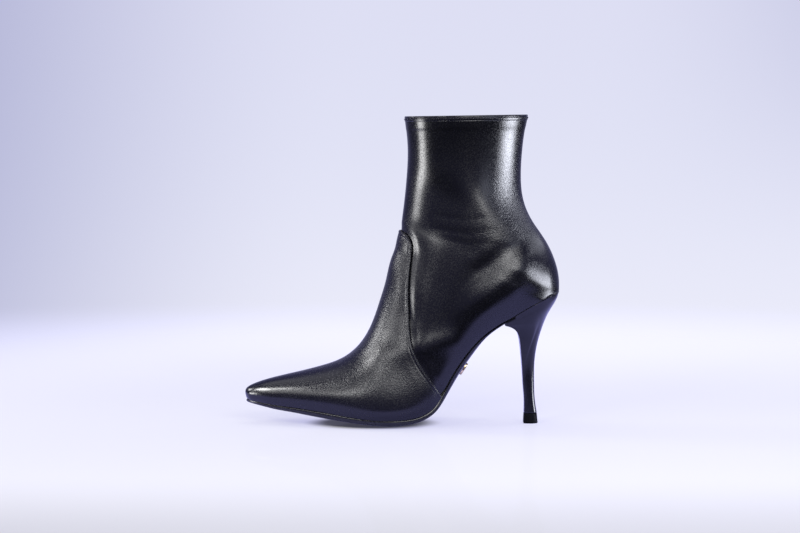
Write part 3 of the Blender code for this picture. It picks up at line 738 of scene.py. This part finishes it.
def make_collar(leather):
    """The bound top edge: a folded strip over the wall, with a lip on the outside."""
    outer, inner = section_curve(SECTION_END)
    rim = np.vstack(
        [
            on_side(outer, np.linspace(0, outer[1][-1], COLLAR_SIDE + 1)),
            on_side(inner, np.linspace(0, inner[1][-1], COLLAR_SIDE + 1))[-2:0:-1],
        ]
    )
    middle = rim.mean(axis=0)
    ahead = np.roll(rim, -1, axis=0) - np.roll(rim, 1, axis=0)
    outward = np.column_stack([-ahead[:, 1], ahead[:, 0], np.zeros(len(rim))])
    outward /= np.linalg.norm(outward, axis=1)[:, None]
    outward *= np.sign(np.sum(outward * (rim - middle), axis=1))[:, None]
    seat = rim - WALL / 2 * outward
    profile = binding_profile()
    rows = [seat + out * outward + (0, 0, up) for out, up in profile]
    rows.append(rows[0])
    closed = [np.vstack([row, row[:1]]) for row in rows]
    bm = sheet(closed)
    bmesh.ops.recalc_face_normals(bm, faces=bm.faces)
    surface = BVHTree.FromBMesh(bm)
    piece("collar_binding", bm, [leather], "collar_bead", angle=70)
    line = seat + BINDING_HALF * outward + (0, 0, BINDING_STITCH)
    return np.vstack([line, line[:2]]), surface


def binding_profile():
    """(out, up) round the binding's section, from its outer lip over the top to the inner lip."""
    turn = np.linspace(0, math.pi / 2, 7)
    top = BINDING_TOP - BINDING_ROUND
    flat = BINDING_HALF - BINDING_ROUND
    near = [(flat + BINDING_ROUND * math.cos(t), top + BINDING_ROUND * math.sin(t)) for t in turn]
    over = near + [(-out, up) for out, up in reversed(near)]
    inside = WALL / 2 + BINDING_SEAT
    outer = [
        (inside, BINDING_LIP),
        (BINDING_HALF - BINDING_LIP_ROUND, BINDING_LIP + BINDING_LIP_ROUND),
        (BINDING_HALF, BINDING_LIP + BINDING_LIP_RISE),
        (BINDING_HALF, (BINDING_LIP + top) / 2),
    ]
    inner = [(-out, up) for out, up in reversed(outer)]
    under = [(out, BINDING_SEAT) for out in (-inside, 0.0, inside)]
    return [*outer, *over, *inner, *under]


# Sole and insole


def bottom_station(distance, offset):
    """The bottom at a distance along the feather line, its outline moved out by offset.

    Gives the outer and inner edge points, the belly, the upward normal and the sole thickness.
    """
    row = feather_rail.at(distance)[0]
    behind, ahead = feather_rail.at([distance - SLOPE_STEP, distance + SLOPE_STEP])
    slope = ahead - behind
    along = np.array([slope[0], slope[1]])
    run = np.linalg.norm(along)
    tangent = along / run if run > 1e-4 else np.array([1.0, 0.0])
    middle = swing(row[0])
    edges = []
    for sign, column in ((-1, 2), (1, 3)):
        turn = np.array([run, slope[column]])
        turn = turn / np.linalg.norm(turn)
        shift = -offset * turn[1]
        half = row[column] + offset * turn[0]
        x = row[0] + shift * tangent[0]
        z = row[1] + shift * tangent[1]
        edges.append(np.array([x, middle + sign * half, z]))
    normal = np.array([-tangent[1], 0.0, tangent[0]])
    return edges, row[4], normal, row[5]


def bottom_row(edges, belly, normal, lift, columns):
    """Points across the bottom from the outer to the inner edge, raised by lift."""
    shares = np.linspace(0, 1, columns)[:, None]
    sag = belly * (1 - (2 * shares - 1) ** 2)
    return (1 - shares) * edges[0] + shares * edges[1] + (lift - sag) * normal


SOLE_STATIONS = 170
SOLE_COLUMNS = 25
WAIST_RUN = (20.0, 36.0)  # x over which the sole's edge turns into the waist's
# Inset and depth round the sole's edge, as shares of its thickness. The waist's is bevelled far under.
SOLE_EDGE = [
    (0.10, 0.0), (0.03, 0.02), (0.0, 0.09), (0.0, 0.3), (0.0, 0.5),
    (0.03, 0.66), (0.10, 0.8), (0.2, 0.91), (0.33, 0.98), (0.48, 1.0),
]
WAIST_EDGE = [
    (0.0, 0.0), (0.02, 0.06), (0.06, 0.15), (0.13, 0.27), (0.25, 0.41),
    (0.42, 0.56), (0.68, 0.71), (1.05, 0.85), (1.5, 0.95), (2.0, 1.0),
]


def sole_loop(distance):
    """One cross-section of the sole: across its top, down its rounded edge and back along its bottom."""
    x, overhang, thickness = feather_rail.at(distance)[0][[0, 6, 5]]
    waist = smooth_step(*WAIST_RUN, x)
    down = []
    for inset, depth in (1 - waist) * np.array(SOLE_EDGE) + waist * np.array(WAIST_EDGE):
        edges, belly, normal, _ = bottom_station(distance, overhang - inset * thickness)
        down.append(bottom_row(edges, belly, normal, -GAP - depth * thickness, SOLE_COLUMNS))
    outer_edge = [row[0] for row in reversed(down[1:])]
    inner_edge = [row[-1] for row in down[1:]]
    loop = np.array([*down[0], *inner_edge, *down[-1][-2:0:-1], *outer_edge])
    loop[:, 2] = np.maximum(loop[:, 2], 0.0)
    return loop


def make_outsole(leather):
    end = feather_rail.distance(0, SOLE_END_X)
    even = np.linspace(0, 1, SOLE_STATIONS)
    slow = (1 - np.cos(math.pi * even)) / 2
    places = SOLE_START + (end - SOLE_START) * (SOLE_EVEN * even + (1 - SOLE_EVEN) * slow)
    bm = ring_solid([sole_loop(d) for d in places])
    piece("outsole_leather", bm, [leather], "outsole", angle=40)


INSOLE_STATIONS = 110
INSOLE_COLUMNS = 21
INSOLE_ROUND = 0.5


def make_insole(lining):
    inset = -(WALL + INSOLE_CLEARANCE)
    start = feather_rail.distance(0, FEATHER[0].x + INSOLE_TOE)
    loops = []
    for distance in np.linspace(start, feather_rail.length - INSOLE_HEEL, INSOLE_STATIONS):
        edges, belly, normal, _ = bottom_station(distance, inset)
        small, *_ = bottom_station(distance, inset - INSOLE_ROUND)
        top = bottom_row(small, belly, normal, INSOLE_THICKNESS, INSOLE_COLUMNS)
        side = bottom_row(edges, belly, normal, INSOLE_THICKNESS - INSOLE_ROUND, INSOLE_COLUMNS)
        low = bottom_row(edges, belly, normal, 0.0, INSOLE_COLUMNS)
        loops.append(np.vstack([side[:1], top, side[-1:], low[::-1]]))
    bm = ring_solid(loops)
    piece("sock_lining", bm, [lining], "insole", angle=60)


# Heel


HEEL_SIDE = 44
HEEL_RINGS = 110
HEEL_TOP_ROUND = 0.2
HEEL_FOOT_ROUND = 0.22
TIP_TOP_ROUND = 0.25
TIP_FOOT_ROUND = 0.3


def ring_outline(half, breast):
    """(share from the back, out) down one side of a heel ring, from its breast corner to its back."""
    shares = (1 - np.cos(np.linspace(math.pi, math.pi * 0.012, HEEL_SIDE))) / 2
    outline = []
    for share in shares:
        if share > HEEL_WIDEST:
            out = half - (half - breast) * ((share - HEEL_WIDEST) / (1 - HEEL_WIDEST)) ** 2
        else:
            out = half * (1 - (1 - share / HEEL_WIDEST) ** HEEL_ROUNDING) ** (1 / HEEL_ROUNDING)
        outline.append((share, out))
    return outline


def closed_ring(outer_side):
    """The ring with its breast edge and its mirrored inner side."""
    x, y, z = outer_side[0]
    breast = [(x, y * (2 * k + 1) / 15, z) for k in range(7)]
    half = np.array([*breast, *outer_side])
    return np.vstack([half, (half * (1, -1, 1))[::-1]])


def ring_loop(row):
    side = []
    for share, out in ring_outline(row.half, row.breast):
        x = row.back_x + (row.front_x - row.back_x) * share
        z = row.back_z + (row.front_z - row.back_z) * share
        side.append((x, -out, z))
    return closed_ring(side)


def seat_loop():
    """The heel's top ring, under the upper's edge, its points above those of the next ring."""
    overhang = FEATHER[-1].overhang - SEAT_INSET
    side = []
    for share, _ in ring_outline(1.0, 1.0):
        x = FEATHER[-1].x + (SEAT_FRONT_X - FEATHER[-1].x) * share
        edges, _, normal, _ = bottom_station(feather_rail.distance(0, x), overhang)
        side.append(tuple(edges[0] - GAP * normal))
    return closed_ring(side)


def eased_edge(loop, following, radius):
    """Rings that round the edge between a solid's end and its side."""
    middle = loop.mean(axis=0)
    inward = middle - loop
    inward /= np.linalg.norm(inward, axis=1)[:, None]
    down = following - loop
    down /= np.linalg.norm(down, axis=1)[:, None]
    rings = []
    for turn in np.linspace(0, math.pi / 2, 5)[:-1]:
        inset = radius * (1 - math.sin(turn)) * inward
        drop = radius * (1 - math.cos(turn)) * down
        rings.append(loop + inset + drop)
    return rings


def under_seat(ring, seat):
    """The ring kept inside a slope that leans in below the seat."""
    drop = np.linalg.norm(ring - seat, axis=1)
    limit = np.abs(seat[:, 1]) - SEAT_SLOPE * drop
    wide = np.minimum(np.abs(ring[:, 1]), np.maximum(limit, SEAT_KEPT * np.abs(ring[:, 1])))
    return np.column_stack([ring[:, 0], np.sign(ring[:, 1]) * wide, ring[:, 2]])


def make_heel(leather):
    ring_rail = Rail(HEEL)
    rings = [ring_loop(Heel(*ring_rail.at(d)[0])) for d in np.linspace(0, ring_rail.length, HEEL_RINGS)]
    seat = seat_loop()
    rings = [under_seat(ring, seat) for ring in rings]
    top = eased_edge(seat, rings[2], HEEL_TOP_ROUND)
    foot = eased_edge(rings[-1], rings[-4], HEEL_FOOT_ROUND)
    bm = ring_solid([*top, *rings[1:-1], *reversed(foot)])
    piece("heel_cover", bm, [leather], "heel", angle=40)


def make_top_piece(rubber):
    high, low = (ring_loop(row) for row in TOP_PIECE)
    top = eased_edge(high, low, TIP_TOP_ROUND)
    foot = eased_edge(low, high, TIP_FOOT_ROUND)
    between = [high + (low - high) * share for share in np.linspace(0.08, 0.92, 8)]
    bm = ring_solid([*top, *between, *reversed(foot)])
    piece("heel_tip", bm, [rubber], "top_piece", angle=40)


# Plain plate under the waist


PLATE_ROUND = 0.28
PLATE_RIM = 0.45
PLATE_STEP = 0.12
PLATE_HOLLOW = 0.16


def make_waist_plate(brass):
    distance = feather_rail.distance(0, PLATE_X)
    edges, belly, normal, thickness = bottom_station(distance, SOLE_FLUSH)
    share = 0.5 + PLATE_Y / (edges[1][1] - edges[0][1])
    depth = GAP + thickness + belly * (1 - (2 * share - 1) ** 2) + PLATE_GAP
    place = to_metres((1 - share) * edges[0] + share * edges[1] - depth * normal)
    tilt = Matrix.Rotation(math.atan2(normal[0], normal[2]) + math.pi, 4, "Y")
    bm = bmesh.new()
    bmesh.ops.create_circle(bm, cap_ends=True, segments=64, radius=0.5)
    bmesh.ops.scale(bm, verts=bm.verts, vec=(PLATE_LENGTH * MM, PLATE_WIDTH * MM, 1))
    face = bm.faces[:]
    pulled = bmesh.ops.extrude_face_region(bm, geom=face)["geom"]
    top = [item for item in pulled if isinstance(item, bmesh.types.BMVert)]
    bmesh.ops.translate(bm, verts=top, vec=(0, 0, PLATE_THICKNESS * MM))
    bmesh.ops.recalc_face_normals(bm, faces=bm.faces)
    bm.normal_update()
    crown = [f for f in bm.faces if f.normal.z > 0.9]
    rim = {edge for f in crown for edge in f.edges}
    bevel = {"affect": "EDGES", "segments": 4, "profile": 0.5, "material": -1}
    bmesh.ops.bevel(bm, geom=list(rim), offset=PLATE_ROUND * MM, **bevel)
    bm.normal_update()
    crown = [f for f in bm.faces if f.normal.z > 0.99 and len(f.verts) > 10]
    bmesh.ops.inset_region(bm, faces=crown, thickness=PLATE_RIM * MM, depth=0.0)
    bmesh.ops.inset_region(bm, faces=crown, thickness=PLATE_STEP * MM, depth=-PLATE_HOLLOW * MM)
    bmesh.ops.transform(bm, matrix=Matrix.Translation(place) @ tilt, verts=bm.verts)
    piece("waist_plate_brass", bm, [brass], "waist_plate", angle=40)


# Finishes


PORE_SHARE = 1.5  # height of the pores beside that of the pebbles


def feed(node, inputs):
    """Sets a node's inputs, each to a constant or to another node's output."""
    for socket, value in inputs.items():
        if isinstance(value, bpy.types.NodeSocket):
            node.id_data.links.new(value, node.inputs[socket])
        else:
            node.inputs[socket].default_value = value


def add(tree, kind, inputs=None, **settings):
    """A new node with its settings and its inputs."""
    made = tree.nodes.new("ShaderNode" + kind)
    for key, value in settings.items():
        setattr(made, key, value)
    feed(made, inputs or {})
    return made


def combine(tree, operation, first, *others):
    """The operation on two values, or on more of them in turn."""
    for other in others:
        first = add(tree, "Math", {0: first, 1: other}, operation=operation).outputs[0]
    return first


def times(tree, *values):
    return combine(tree, "MULTIPLY", *values)


def plus(tree, *values):
    return combine(tree, "ADD", *values)


def map_range(tree, value, low, high, to_low, to_high, kind="SMOOTHSTEP"):
    inputs = {"Value": value, "From Min": low, "From Max": high, "To Min": to_low, "To Max": to_high}
    return add(tree, "MapRange", inputs, interpolation_type=kind).outputs["Result"]


def mix_colour(tree, first, second, share, blend="MIX"):
    inputs = {"A": first, "B": second, "Factor": share}
    return add(tree, "Mix", inputs, data_type="RGBA", blend_type=blend).outputs["Result"]


def grain_group():
    """Grain of a hide: rounded pebbles parted by fine valleys, over a slow change of coarseness."""
    group = bpy.data.node_groups.new("hide_grain", "ShaderNodeTree")
    face = group.interface
    face.new_socket("Place", in_out="INPUT", socket_type="NodeSocketVector")
    for name in ("Pebbles per metre", "Pore share"):
        face.new_socket(name, in_out="INPUT", socket_type="NodeSocketFloat")
    for name in ("Height", "Valley", "Patch"):
        face.new_socket(name, in_out="OUTPUT", socket_type="NodeSocketFloat")
    given = group.nodes.new("NodeGroupInput").outputs
    place, count = given["Place"], given["Pebbles per metre"]
    slow = {"Vector": place, "Scale": 42.0, "Detail": 2.0}
    patch = add(group, "TexNoise", slow).outputs["Fac"]
    cells = {"Vector": place, "Scale": count, "Smoothness": 0.35}
    gap = add(group, "TexVoronoi", cells, feature="SMOOTH_F1").outputs["Distance"]
    fine = {"Vector": place, "Scale": times(group, count, 1.3), "Detail": 2.0}
    pores = add(group, "TexNoise", fine).outputs["Fac"]
    dome = combine(group, "SUBTRACT", 1.0, gap)
    coarse = plus(group, times(group, patch, 0.6), 0.2)
    domes = times(group, dome, coarse)
    small = times(group, pores, given["Pore share"])
    height = plus(group, domes, small)
    valley = map_range(group, gap, 0.35, 0.7, 0.0, 1.0)
    given_back = group.nodes.new("NodeGroupOutput")
    feed(given_back, {"Height": height, "Valley": valley, "Patch": patch})
    return group


GRAIN = grain_group()


def toe_pull(tree, x, z):
    """1 where the vamp's leather keeps its grain, towards 0 where toe and sole pull it smooth."""
    toe = map_range(tree, x, -0.092, -0.045, 0.12, 1.0)
    low = map_range(tree, z, 0.016, 0.034, 0.15, 1.0)
    return times(tree, toe, low)


def shaft_pull(tree, x, z):
    """More than 1 round the ankle, where the leather gathers, less on smooth shaft and tight counter."""
    high = map_range(tree, z, 0.135, 0.19, 1.0, 0.4)
    low = map_range(tree, z, 0.075, 0.11, 0.35, 1.0)
    back = map_range(tree, x, 0.085, 0.097, 1.0, 0.12)
    above = map_range(tree, z, 0.128, 0.138, 0.0, 1.0)
    back = combine(tree, "MAXIMUM", back, above)
    front = map_range(tree, x, 0.035, 0.065, 0.25, 1.0)
    rise = map_range(tree, z, 0.128, 0.142, 0.0, 1.0)
    fall = map_range(tree, z, 0.160, 0.200, 1.4, 0.4)
    rear = map_range(tree, x, 0.055, 0.070, 0.0, 1.0)
    ankle = times(tree, rise, fall, rear)
    return times(tree, high, low, back, front, plus(tree, ankle, 1.0))


def new_finish(name):
    """A material with its node tree, its shader and the place on the piece."""
    made = bpy.data.materials.new(name)
    made.use_nodes = True
    tree = made.node_tree
    place = add(tree, "TexCoord").outputs["Object"]
    return made, tree, tree.nodes["Principled BSDF"], place


def hide(name, dark, light, rough, pebbles, depth, specular=0.5, pull=None, slack=0.0):
    """A dyed leather: the grain raises its surface, and its valleys are darker and duller.

    A pull gives the share of the grain left at each place, and slack how much rougher it is there.
    """
    made, tree, shader, place = new_finish(name)
    inputs = {"Place": place, "Pebbles per metre": pebbles, "Pore share": PORE_SHARE}
    grain = add(tree, "Group", inputs, node_tree=GRAIN).outputs
    colour = mix_colour(tree, (*light, 1), (*dark, 1), grain["Valley"])
    dull = times(tree, grain["Valley"], 0.08)
    uneven = times(tree, combine(tree, "SUBTRACT", grain["Patch"], 0.5), 0.10)
    total = plus(tree, dull, uneven, rough)
    height = grain["Height"]
    if pull:
        split = add(tree, "SeparateXYZ", {"Vector": place}).outputs
        left = pull(tree, split["X"], split["Z"])
        height = times(tree, height, left)
        total = plus(tree, total, times(tree, left, slack))
    bump = add(tree, "Bump", {"Strength": 1.0, "Distance": depth * MM, "Height": height})
    feed(shader, {"Specular IOR Level": specular, "Base Color": colour, "Roughness": total})
    feed(shader, {"Normal": bump.outputs["Normal"]})
    return made


def waxed_thread(name):
    made, tree, shader, place = new_finish(name)
    inputs = {"Vector": place, "Scale": 900.0, "Distortion": 1.5}
    bands = add(tree, "TexWave", inputs, wave_type="BANDS", bands_direction="DIAGONAL")
    twist = bands.outputs["Fac"]
    bump = add(tree, "Bump", {"Distance": 0.03 * MM, "Height": twist})
    rough = map_range(tree, twist, 0.0, 1.0, 0.25, 0.45, "LINEAR")
    feed(shader, {"Base Color": (0.016, 0.016, 0.02, 1), "Roughness": rough})
    feed(shader, {"Normal": bump.outputs["Normal"]})
    return made


def polished_brass(name):
    made, tree, shader, place = new_finish(name)
    inputs = {"Vector": place, "Scale": 700.0, "Detail": 3.0}
    haze = add(tree, "TexNoise", inputs).outputs["Fac"]
    colour = mix_colour(tree, (0.74, 0.55, 0.27, 1), (0.86, 0.68, 0.40, 1), haze)
    rough = map_range(tree, haze, 0.0, 1.0, 0.14, 0.3, "LINEAR")
    feed(shader, {"Metallic": 1.0, "Base Color": colour, "Roughness": rough})
    return made


# Studio


CAMERA_PLACE = (-0.00154, -1.65, 0.22033)
CAMERA_DROP = 3.745  # degrees that it looks down
CAMERA_LENS = 103.95
CAMERA_SENSOR = 36.0
TABLE_RADIUS = 1.5
TABLE_DROP = 0.0002  # below the tread, so that the two faces do not fight

WHITE = (1.0, 1.0, 1.0)
COOL = (0.86, 0.89, 1.0)
PALE_BLUE = (0.8, 0.85, 1.0)

# Soft boxes in metres, watts and degrees. Five do not shine on the table, which would mirror them.
Lamp = namedtuple("Lamp", "name place aim size power colour spread on_table", defaults=(WHITE, 180, True))
LAMPS = [
    Lamp("left_strip", (-0.89, -0.125, 0.09), (0.0, 0.0, 0.09), (0.26, 0.22), 3.2, on_table=False),
    Lamp("left_strip_top", (-0.89, -0.125, 0.43), (0.0, 0.0, 0.43), (0.26, 0.46), 0.5, on_table=False),
    Lamp("left_fill", (-1.02, -0.63, 0.74), (0.0, 0.0, 0.1), (0.6, 0.45), 2.2),
    Lamp("toe_box", (-0.346, -0.065, 0.264), (-0.10, -0.02, 0.026), (0.15, 0.085), 0.06, WHITE, 36, False),
    Lamp("vamp_box", (-0.818, 0.2925, 0.4915), (-0.02, -0.03, 0.08), (0.24, 0.2), 2.0),
    Lamp("front_left", (-0.64, -1.0, 0.63), (0.0, 0.0, 0.07), (0.34, 0.2), 3.4),
    Lamp("right_strip", (0.825, -0.028, 0.05), (0.0, -0.025, 0.05), (0.375, 0.2), 3.6, COOL, 180, False),
    Lamp("right_fill", (0.646, -0.62, 0.33), (0.0, 0.0, 0.25), (0.3, 0.34), 0.6, PALE_BLUE),
    Lamp("ankle_box", (0.219, -0.043, 0.195), (0.07, -0.03, 0.19), (0.08, 0.04), 0.022, COOL, 50, False),
    Lamp("back_box", (0.72, 0.30, 0.46), (0.075, -0.02, 0.16), (0.5, 0.2), 0.7, COOL),
    Lamp("front_box", (0.26, -1.17, 0.64), (0.0, 0.0, 0.1), (0.88, 0.45), 9.4),
    Lamp("top_box", (0.0, 0.25, 1.25), (0.0, 0.1, 0.0), (1.7, 1.2), 5.2),
]


def srgb(red, green, blue):
    """A screen colour out of 255 as light."""
    values = np.array([red, green, blue]) / 255
    return tuple(np.where(values <= 0.04045, values / 12.92, ((values + 0.055) / 1.055) ** 2.4))


def make_camera():
    data = bpy.data.cameras.new("photo_camera")
    data.lens = CAMERA_LENS
    data.sensor_width = CAMERA_SENSOR
    made = new_object("photo_camera", data)
    made.location = CAMERA_PLACE
    made.rotation_euler = (math.radians(90 - CAMERA_DROP), 0, 0)
    bpy.context.scene.camera = made


def soft_box(lamp):
    data = bpy.data.lights.new(lamp.name, "AREA")
    data.shape = "RECTANGLE"
    data.size, data.size_y = lamp.size
    data.energy = lamp.power
    data.color = lamp.colour
    data.spread = math.radians(lamp.spread)
    made = new_object(lamp.name, data)
    made.location = lamp.place
    made.rotation_euler = (Vector(lamp.aim) - Vector(lamp.place)).to_track_quat("-Z", "Y").to_euler()
    made.visible_camera = False
    return made


def bare_tree(owner):
    """The owner's node tree, emptied."""
    owner.use_nodes = True
    owner.node_tree.nodes.clear()
    return owner.node_tree


def make_room():
    """A pale backdrop for the eye, with painted shade towards its sides, and a dim room with that backdrop
    for the leather to mirror.
    """
    world = bpy.data.worlds.new("studio_room")
    bpy.context.scene.world = world
    tree = bare_tree(world)
    spot = add(tree, "TexCoord").outputs["Generated"]
    split = add(tree, "SeparateXYZ", {"Vector": spot}).outputs
    x, y, z = split["X"], split["Y"], split["Z"]
    ramp = add(tree, "ValToRGB", {"Fac": map_range(tree, z, 0.05, -0.12, 0.0, 1.0, "LINEAR")})
    ramp.color_ramp.interpolation = "B_SPLINE"
    stops = ramp.color_ramp.elements
    stops[0].color = (*srgb(221, 222, 243), 1)
    stops[1].color = (*srgb(241, 241, 253), 1)
    stops.new(0.5).color = (*srgb(225, 227, 246), 1)
    # Painted shade: the backdrop that the eye sees darkens towards the left and towards the upper right.
    left = map_range(tree, x, -0.02, -0.27, 0.0, 1.0)
    right = map_range(tree, x, 0.08, 0.27, 0.0, 0.6)
    upper = map_range(tree, z, -0.07, 0.06, 0.0, 1.0)
    aside = plus(tree, left, times(tree, right, upper))
    shaded = mix_colour(tree, ramp.outputs["Color"], (0.50, 0.51, 0.67, 1), aside, "MULTIPLY")
    seen = add(tree, "Background", {"Color": shaded})
    behind = map_range(tree, y, 0.72, 0.97, 0.04, 0.25)
    low = map_range(tree, z, 0.42, 0.22, 0.05, 1.0)
    bright = {"Color": (*srgb(222, 223, 248), 1), "Strength": times(tree, behind, low)}
    backdrop = add(tree, "Background", bright)
    dusk = {"Color": (0.42, 0.42, 1.0, 1), "Strength": map_range(tree, z, -0.2, -0.02, 0.03, 0.3)}
    dim = add(tree, "Background", dusk)
    mirrored = add(tree, "AddShader", {0: backdrop.outputs[0], 1: dim.outputs[0]})
    eye = add(tree, "LightPath").outputs["Is Camera Ray"]
    mix = add(tree, "MixShader", {"Fac": eye, 1: mirrored.outputs[0], 2: seen.outputs[0]})
    add(tree, "OutputWorld", {"Surface": mix.outputs[0]})


def table_fade(tree, spot, split, path):
    """1 where the table is clear: far off, before the camera, from below, aside for the mirror."""
    far = add(tree, "VectorMath", {0: spot}, operation="LENGTH").outputs["Value"]
    distant = map_range(tree, far, 0.3, 1.15, 0.0, 1.0)
    front = map_range(tree, split["Y"], -0.46, -0.58, 0.0, 1.0)
    ahead = map_range(tree, split["Y"], -0.09, -0.16, 0.0, 1.0)
    aside = map_range(tree, split["X"], 0.26, 0.36, 0.0, 1.0)
    shut = times(tree, combine(tree, "MAXIMUM", ahead, aside), path["Is Glossy Ray"])
    below = add(tree, "NewGeometry").outputs["Backfacing"]
    return combine(tree, "MAXIMUM", distant, front, shut, below)


def table_colour(tree, path, shade):
    """The table's colour: a less blue one for the eye so that the painted glow tints its shadows lavender,
    one for light that it passes on, and a painted lavender reflection for what the leather mirrors, all
    darkened by the painted shade towards the front.
    """
    plain = mix_colour(tree, (0.42, 0.42, 0.44, 1), (0.42, 0.42, 0.28, 1), path["Is Camera Ray"])
    # Painted reflection: brighter than white and lavender only where the leather mirrors the table.
    painted_mirror_tint = mix_colour(tree, plain, (0.82, 0.81, 1.48, 1), path["Is Glossy Ray"])
    return mix_colour(tree, painted_mirror_tint, shade, 1.0, "MULTIPLY")


def painted_table_light(tree, spot, split, path, shade):
    """Strength of the table's painted glow: near the boot for the eye alone, with a painted contact shadow
    under the tread, and for all rays far off.
    """
    # Painted light: the glow is brighter towards +X.
    even = map_range(tree, split["X"], -0.25, 0.2, 0.55, 0.62)
    inputs = {0: spot, 1: (1.0, 1.3, 0.0)}
    oval = add(tree, "VectorMath", inputs, operation="MULTIPLY").outputs[0]
    inputs = {0: oval, 1: (-0.021, 0.0, 0.0)}
    gap = add(tree, "VectorMath", inputs, operation="DISTANCE").outputs["Value"]
    # Painted contact shadow: the glow drops in an oval under the tread.
    foot = map_range(tree, gap, 0.032, 0.052, 0.1, 1.0)
    near = times(tree, shade, even, foot, path["Is Camera Ray"])
    # Painted light far off, for every ray.
    back = map_range(tree, split["Y"], 0.1, 0.9, 0.0, 0.34)
    return plus(tree, near, back)


def table_finish():
    """A pale polished table that ends before the camera, fades far off, mirrors the boot faintly and glows
    with painted light and shade.
    """
    made = bpy.data.materials.new("studio_floor")
    tree = bare_tree(made)
    spot = add(tree, "TexCoord").outputs["Object"]
    split = add(tree, "SeparateXYZ", {"Vector": spot}).outputs
    path = add(tree, "LightPath").outputs
    # Painted shade: the table's colour and glow darken towards the front, where the lamps would light it
    # less.
    shade = map_range(tree, split["Y"], -0.24, -0.50, 1.0, 0.70)
    pale = add(tree, "BsdfDiffuse", {"Color": table_colour(tree, path, shade)})
    mirror = add(tree, "BsdfGlossy", {"Roughness": 0.03})
    glance = add(tree, "Fresnel", {"IOR": 1.45}).outputs["Fac"]
    sheen = times(tree, combine(tree, "POWER", glance, 2.0), 0.36)
    polish = add(tree, "MixShader", {"Fac": sheen, 1: pale.outputs[0], 2: mirror.outputs[0]})
    strength = painted_table_light(tree, spot, split, path, shade)
    # Painted light: the table glows a pale lavender though it is no lamp.
    painted_glow = add(tree, "Emission", {"Color": (0.87, 0.87, 1.25, 1), "Strength": strength})
    lit = add(tree, "AddShader", {0: polish.outputs[0], 1: painted_glow.outputs[0]})
    clear = add(tree, "BsdfTransparent")
    gone = table_fade(tree, spot, split, path)
    edge = add(tree, "MixShader", {"Fac": gone, 1: lit.outputs[0], 2: clear.outputs[0]})
    add(tree, "OutputMaterial", {"Surface": edge.outputs[0]})
    return made


def make_floor():
    bm = bmesh.new()
    bmesh.ops.create_circle(bm, cap_ends=True, segments=96, radius=TABLE_RADIUS)
    mesh = mesh_of("studio_floor", bm)
    mesh.materials.append(table_finish())
    floor = new_object("studio_floor", mesh)
    floor.location = (0, 0, -TABLE_DROP)
    return floor


def spare(floor, lights):
    """These lights shine on the boot only, so that the table does not mirror them."""
    spared = bpy.data.collections.new("spared_by_strips")
    spared.objects.link(floor)
    spared.collection_objects[0].light_linking.link_state = "EXCLUDE"
    for light in lights:
        light.light_linking.receiver_collection = spared


def make_studio():
    bpy.context.scene.view_settings.view_transform = "Standard"
    make_camera()
    make_room()
    floor = make_floor()
    boxes = [soft_box(lamp) for lamp in LAMPS]
    spare(floor, [box for box, lamp in zip(boxes, LAMPS) if not lamp.on_table])


def main():
    make_studio()
    dark, light = (0.0008, 0.0008, 0.0014), (0.0016, 0.0016, 0.0026)
    calf = hide("black_calf", dark, light, 0.2, 950.0, 0.085, pull=shaft_pull, slack=0.02)
    vamp_calf = hide("vamp_calf", dark, light, 0.2, 950.0, 0.10, pull=toe_pull, slack=0.03)
    dark, light = (0.002, 0.002, 0.0025), (0.003, 0.003, 0.004)
    heel_calf = hide("heel_calf", dark, light, 0.15, 1100.0, 0.008)
    dark, light = (0.020, 0.019, 0.019), (0.034, 0.032, 0.032)
    lining = hide("lining_leather", dark, light, 0.62, 900.0, 0.05)
    dark, light = (0.004, 0.004, 0.0045), (0.007, 0.0065, 0.007)
    sole = hide("sole_leather", dark, light, 0.2, 600.0, 0.01)
    dark, light = (0.002, 0.002, 0.0025), (0.003, 0.003, 0.0035)
    rubber = hide("tip_rubber", dark, light, 0.45, 1500.0, 0.01, specular=0.08)
    thread = waxed_thread("black_thread")
    seam_line, vamp_surface = make_vamp(vamp_calf)
    line = dense_line(seam_line)
    sew("vamp_stitches", line, vamp_surface, thread, STITCH_INSET, STITCH_RISE)
    make_upper(calf, lining, vamp_surface)
    binding_line, binding_surface = make_collar(calf)
    line = dense_line(binding_line)
    sew("collar_stitches", line, binding_surface, thread, 0.0, BINDING_STITCH_RISE, BINDING_STITCH_LEAN)
    make_outsole(sole)
    make_insole(lining)
    make_heel(heel_calf)
    make_top_piece(rubber)
    make_waist_plate(polished_brass("pale_brass"))


main()
